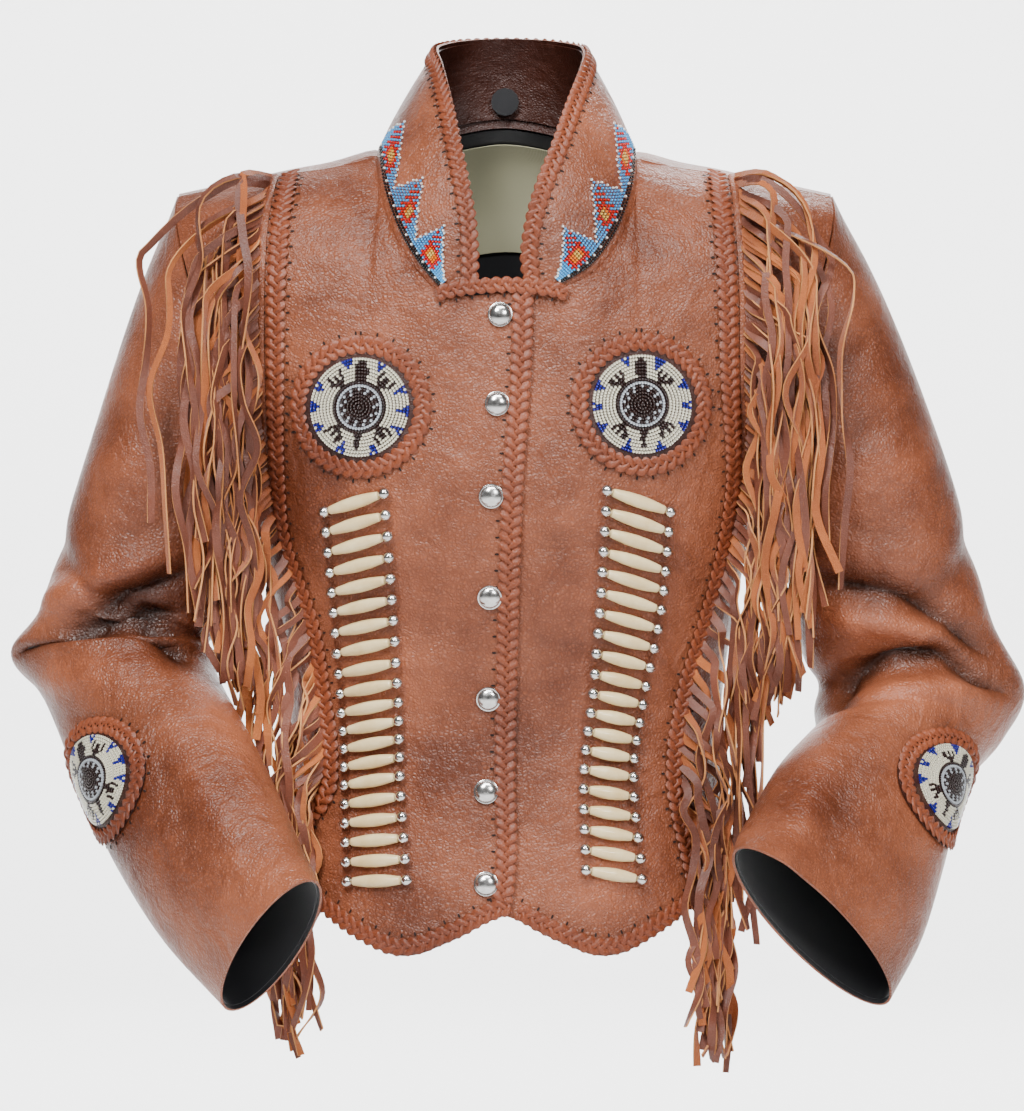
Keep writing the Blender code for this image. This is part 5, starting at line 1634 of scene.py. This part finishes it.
def spindles(name, starts, ends, outline, skin, slot, nodes, sides=14):
    """Turned pieces between pairs of points: share of the length, radius in millimetres."""
    run = ends - starts
    axis = run / np.linalg.norm(run, axis=-1, keepdims=True)
    up = np.array([0.0, 0.0, 1.0]) - axis * axis[:, 2:3]
    up = up / np.linalg.norm(up, axis=-1, keepdims=True)
    out = np.cross(axis, up)
    turn = np.arange(sides) / sides * 2 * math.pi
    spoke = up[:, None] * np.cos(turn)[None, :, None] + out[:, None] * np.sin(turn)[None, :, None]
    centre = starts[:, None] + run[:, None] * outline[None, :, 0:1]
    rings = centre[:, :, None] + spoke[:, None] * (outline[:, 1] * MM)[None, :, None, None]
    made = shown(name, rings, tube_faces(len(starts), len(outline), sides), [skin], sharp=60)
    return dress(outward_faces(made), slot, *nodes)


for word, table in (("right", PIPES_RIGHT), ("left", PIPES_LEFT)):
    rows = through(table, np.arange(PIPE_ROWS)) * MM
    start, _ = pinned(rows[:, 0], rows[:, 1], PIPE_LIFT)
    end, _ = pinned(rows[:, 2], rows[:, 3], PIPE_LIFT)
    axis = (end - start) / np.linalg.norm(end - start, axis=-1, keepdims=True)
    pairs = [f"hairpipes_{word}_{k + 1:02d}" for k in range(PIPE_ROWS // 2)]
    tube_start, tube_end = start + axis * TUBE_INSET, end - axis * TUBE_INSET
    spindles(f"bone_{word}", tube_start, tube_end, BONE_OUTLINE, BONE_SKIN, "bone", pairs)
    both = np.concatenate([start, end])
    reach = np.concatenate([axis, axis]) * BEAD_HALF
    spindles(f"pipe_beads_{word}", both - reach, both + reach, BEAD_OUTLINE, SILVER_SKIN, "silver", [])

# %% [markdown]
# Two beaded strips climb the collar. Across a strip the pattern is a zigzag: a dark border, then
# nested bands that follow the same triangle wave, from a dark core out to a white edge.

# %% Bead strips
BEAD_STRIP_FOOT = 0.22
BEAD_STRIP_TOP = (1.6, 1.7, 1.7, 1.65, 1.55, 1.3)
STRIP_WHITE = (0.98, 0.98, 0.94)
STRIP_SKY = (0.07, 0.42, 0.85)
STRIP_RED = (0.70, 0.005, 0.005)
STRIP_ORANGE = (0.95, 0.22, 0.0)
STRIP_YELLOW = (0.85, 0.55, 0.10)
STRIP_BLACK = (0.012, 0.012, 0.014)
# Share down the strip, share of its full width that the beads reach
ZIGZAG = ((0.00, 0.50), (0.07, 1.00), (0.29, 0.22), (0.40, 0.94), (0.64, 0.20), (0.73, 1.00), (1.00, 0.26))
STRIP_ROWS, STRIP_LINES = 56, 15
BORDER = 2
last = collar_grid().shape[0] - 1


def strip_colors(row, line, reach):
    """White along the zigzag, blue inside it, then red and orange towards the middle of each triangle."""
    depth = np.floor((reach - line) + 0.5).astype(int)
    colors = np.tile(STRIP_SKY, row.shape + (1,))
    period = np.digitize(row / STRIP_ROWS, (0.29, 0.64))
    middle = np.array([0.13, 0.47, 0.80])[period] * STRIP_ROWS
    aside, deep = np.abs(row - middle), line - BORDER - 3
    colors[(aside < 4.5) & (depth > 1) & ((row + line) % 2 == 0)] = STRIP_RED
    colors[(aside < 3.2) & (depth > 1) & (np.abs(deep) < 3)] = STRIP_RED
    colors[(aside < 2.2) & (depth > 1) & (np.abs(deep) < 2)] = STRIP_ORANGE
    colors[(aside < 0.9) & (depth > 1) & (np.abs(deep) < 1.5)] = STRIP_YELLOW
    colors[depth <= 0] = STRIP_WHITE
    colors[line < BORDER] = STRIP_BLACK
    colors[(line == 1) & (row % 4 == 0)] = STRIP_WHITE
    return colors


for word, first in (("right", 1.0), ("left", last - 6.0)):
    top = np.array(BEAD_STRIP_TOP if word == "right" else BEAD_STRIP_TOP[::-1])
    u, v = np.linspace(0, 1, STRIP_ROWS), np.linspace(0, 1, STRIP_LINES)
    head = np.interp(u * 5, np.arange(6), top)
    height = BEAD_STRIP_FOOT + (head - BEAD_STRIP_FOOT)[:, None] * v[None]
    column = np.repeat(((first + u * 5) * 6)[:, None], STRIP_LINES, axis=1)
    down = 1 - u if word == "right" else u
    share, width = np.array(ZIGZAG).T
    reach = np.interp(down, share, width)[:, None] * (STRIP_LINES - 1)
    line, row = np.meshgrid(np.arange(STRIP_LINES), np.round(down * STRIP_ROWS))
    keep = line <= reach + 0.5
    centres, way = seat(collar_form, column, height * 10, collar_ways)
    centres = centres + way * (LEATHER / 2 + 1.2 * MM)
    colors = strip_colors(row, line, reach)
    nodes = [f"bead_strip_{word}"]
    beads(f"bead_rows_{word}", centres[keep], way[keep], 1.05 * MM, colors[keep], "beads", nodes)

# %% [markdown]
# The fringe is about a hundred thongs a side, cut from one strip that is sewn in beside the
# plait. Each leaves the seam at a slant, falls under its own weight, waves a little and turns,
# so that both its brown grain and its tan flesh side show.

# %% Fringe
FRINGE_STRANDS = 105
STATIONS = 46
# Fringe drape: height, y at the near column, y at the far column
DRAPE = (
    (-640, -58, -22),
    (-385, -58, -22),
    (-345, -62, -92),
    (-300, -68, -90),
    (-250, -76, -88),
    (-190, -86, -86),
    (-130, -96, -84),
    (-80, -98, -80),
    (-40, -94, -80),
    (-15, -80, -68),
    (20, -56, -46),
)
FRINGE_NEAR = 156.0 * MM
FRINGE_FAR = 235.0 * MM

# Share down the seam, distance out of the middle, height of the tip
HANG = {
    "right": ((0, 236, -250), (0.10, 226, -292), (0.20, 212, -322), (0.32, 198, -346), (0.50, 186, -372),
              (0.57, 174, -430), (0.62, 166, -500), (0.70, 157, -545), (0.80, 151, -585), (1, 146, -606)),
    "left": ((0, 243, -252), (0.10, 232, -300), (0.20, 217, -330), (0.32, 200, -348), (0.50, 187, -376),
             (0.57, 174, -430), (0.62, 166, -510), (0.70, 157, -560), (0.80, 151, -595), (1, 145, -612)),
}


def drape_depth(out, height):
    """Depth of the hanging fringe: over the body where that is in the way, else over the sleeve."""
    rows = np.array(DRAPE, float) * MM
    near = np.interp(height, rows[:, 0], rows[:, 1])
    far = np.interp(height, rows[:, 0], rows[:, 2])
    share = (out - FRINGE_NEAR) / (FRINGE_FAR - FRINGE_NEAR)
    half = torso_section(height)[0]
    body, _ = chest_point(np.minimum(out, half * 0.985), height, 0.0)
    over_body = np.where(out < half * 0.985, body[..., 1] - 6 * MM, 1.0)
    return np.minimum(near * (1 - share) + far * share, over_body)


def knots(rng, count, size, steps):
    """Smooth random waves, one for each strand: random values at a few knots, joined smoothly."""
    values = rng.normal(0, 1, (steps, count)) * size
    values[0] = 0
    table = np.concatenate([np.arange(steps, dtype=float)[:, None], values], axis=1)
    return through(table, np.linspace(0, steps - 1, STATIONS)).T


ROOT_INSET = 13 * MM
ROOT_LIFT = LEATHER / 2 + 1.4 * MM
COLUMN_SPREAD = 7 * MM
TIP_SPREAD = 10 * MM
SHORTEST_DROP = 120 * MM
NEAREST_COLUMN = 5 * MM
ARCHED_SHARE = 0.035
ARCH_HEIGHT = 15 * MM
ARCH_FALL = 45 * MM
FACE_DOWN_SHARE = 0.32
STRAND_HALF_THICKNESS = 0.6 * MM
rng = np.random.default_rng(11)
for word, side in SIDES.items():
    flank, flank_ways = panels[f"side_{word}"], panel_ways[f"side_{word}"]
    count = FRINGE_STRANDS
    share = (np.arange(count) + 0.5) / count
    rows = np.clip((flank.shape[1] - 1) * (1 - share * 0.985), 0.5, flank.shape[1] - 1.02)
    span = np.linalg.norm(flank[1] - flank[0], axis=-1)
    root, root_way = seat(flank, ROOT_INSET / np.interp(rows, np.arange(len(span)), span), rows, flank_ways)
    root = root + root_way * ROOT_LIFT
    table = np.array(HANG[word], float)
    start = np.abs(root[:, 0])
    column = np.interp(share, table[:, 0], table[:, 1]) * MM + rng.normal(0, 1, count) * COLUMN_SPREAD
    tip = np.interp(share, table[:, 0], table[:, 2]) * MM + rng.normal(0, 1, count) * TIP_SPREAD
    column = start + np.maximum((column - start) * rng.uniform(0.12, 1.0, count) ** 0.8, NEAREST_COLUMN)
    tip = np.minimum(tip, root[:, 2] - SHORTEST_DROP)
    t = np.linspace(0, 1, STATIONS)[None] ** 1.15
    height = root[:, 2:3] + (tip - root[:, 2])[:, None] * t
    fall = root[:, 2:3] - height
    slide = (rng.uniform(0.4, 0.9, count) * (column - start) + 10 * MM)[:, None]
    out = start[:, None] + (column - start)[:, None] * ease(0, 1, fall / slide) ** 0.8
    fade = ease(0, 30 * MM, fall)
    out = out + knots(rng, count, 4.5 * MM, 8) * fade
    layer = ((1 - share) * 9 + rng.uniform(0, 8, count))[:, None] * MM
    depth = drape_depth(out, height) - layer + knots(rng, count, 3.0 * MM, 8) * fade
    seam_depth = root[:, 1:2]
    depth = np.minimum(depth, seam_depth + 30 * MM) - seam_depth
    depth = seam_depth + depth * ease(0, 16 * MM, fall)
    arch = ARCH_HEIGHT * np.sin(math.pi * np.clip(fall / ARCH_FALL, 0, 1))
    path = np.stack([side * out, depth, height + (share < ARCHED_SHARE)[:, None] * arch], axis=-1)
    along = np.gradient(path, axis=1)
    along = along / np.linalg.norm(along, axis=-1, keepdims=True)
    flat_way = np.cross(along, np.array([0.0, -1.0, 0.0]))
    flat_way = flat_way / np.maximum(np.linalg.norm(flat_way, axis=-1, keepdims=True), 1e-6)
    face_way = np.cross(flat_way, along)
    turned_over = np.where(rng.uniform(0, 1, (count, 1)) < FACE_DOWN_SHARE, math.pi, 0)
    twist = turned_over + knots(rng, count, 1.0, 5) + rng.normal(0, 0.4, (count, 1))
    wide = flat_way * np.cos(twist)[..., None] + face_way * np.sin(twist)[..., None]
    thin = face_way * np.cos(twist)[..., None] - flat_way * np.sin(twist)[..., None]
    half = rng.uniform(2.0, 3.0, count)[:, None, None, None] * MM
    corner_w = np.array([-1.0, 1.0, 1.0, -1.0])[None, None, :, None]
    corner_t = np.array([-1.0, -1.0, 1.0, 1.0])[None, None, :, None]
    breadth, depth = wide[:, :, None] * half, thin[:, :, None] * STRAND_HALF_THICKNESS
    rings = path[:, :, None] + breadth * corner_w + depth * corner_t
    faces = tube_faces(count, STATIONS, 4)
    slots = [(1, 2, 0, 2)[k % 4] for k in range(count * (STATIONS - 1) * 4)] + [2] * (2 * count)
    skins = [GRAIN_SKIN, SUEDE_SKIN, EDGE_SKIN]
    made = shown(f"fringe_strands_{word}", rings, faces, skins, slots, sharp=40)
    dress(outward_faces(made), "suede", f"fringe_{word}")
    across = np.linspace(8.5, 14.5, 5) * MM / span[:, None]
    rows = np.repeat(np.arange(len(span), dtype=float)[:, None], 5, axis=1)
    strip, strip_way = seat(flank, across, rows, flank_ways)
    arch = (LEATHER / 2 + 0.6 * MM + 1.2 * MM * np.array([0.0, 0.8, 1.0, 0.8, 0.0]))[None, :, None]
    strip = strip + strip_way * arch
    piece = wall(f"fringe_strip_{word}", strip, strip_way, 1.0 * MM, LEATHER_SKIN, LEATHER_SKIN)
    dress(piece, "leather")
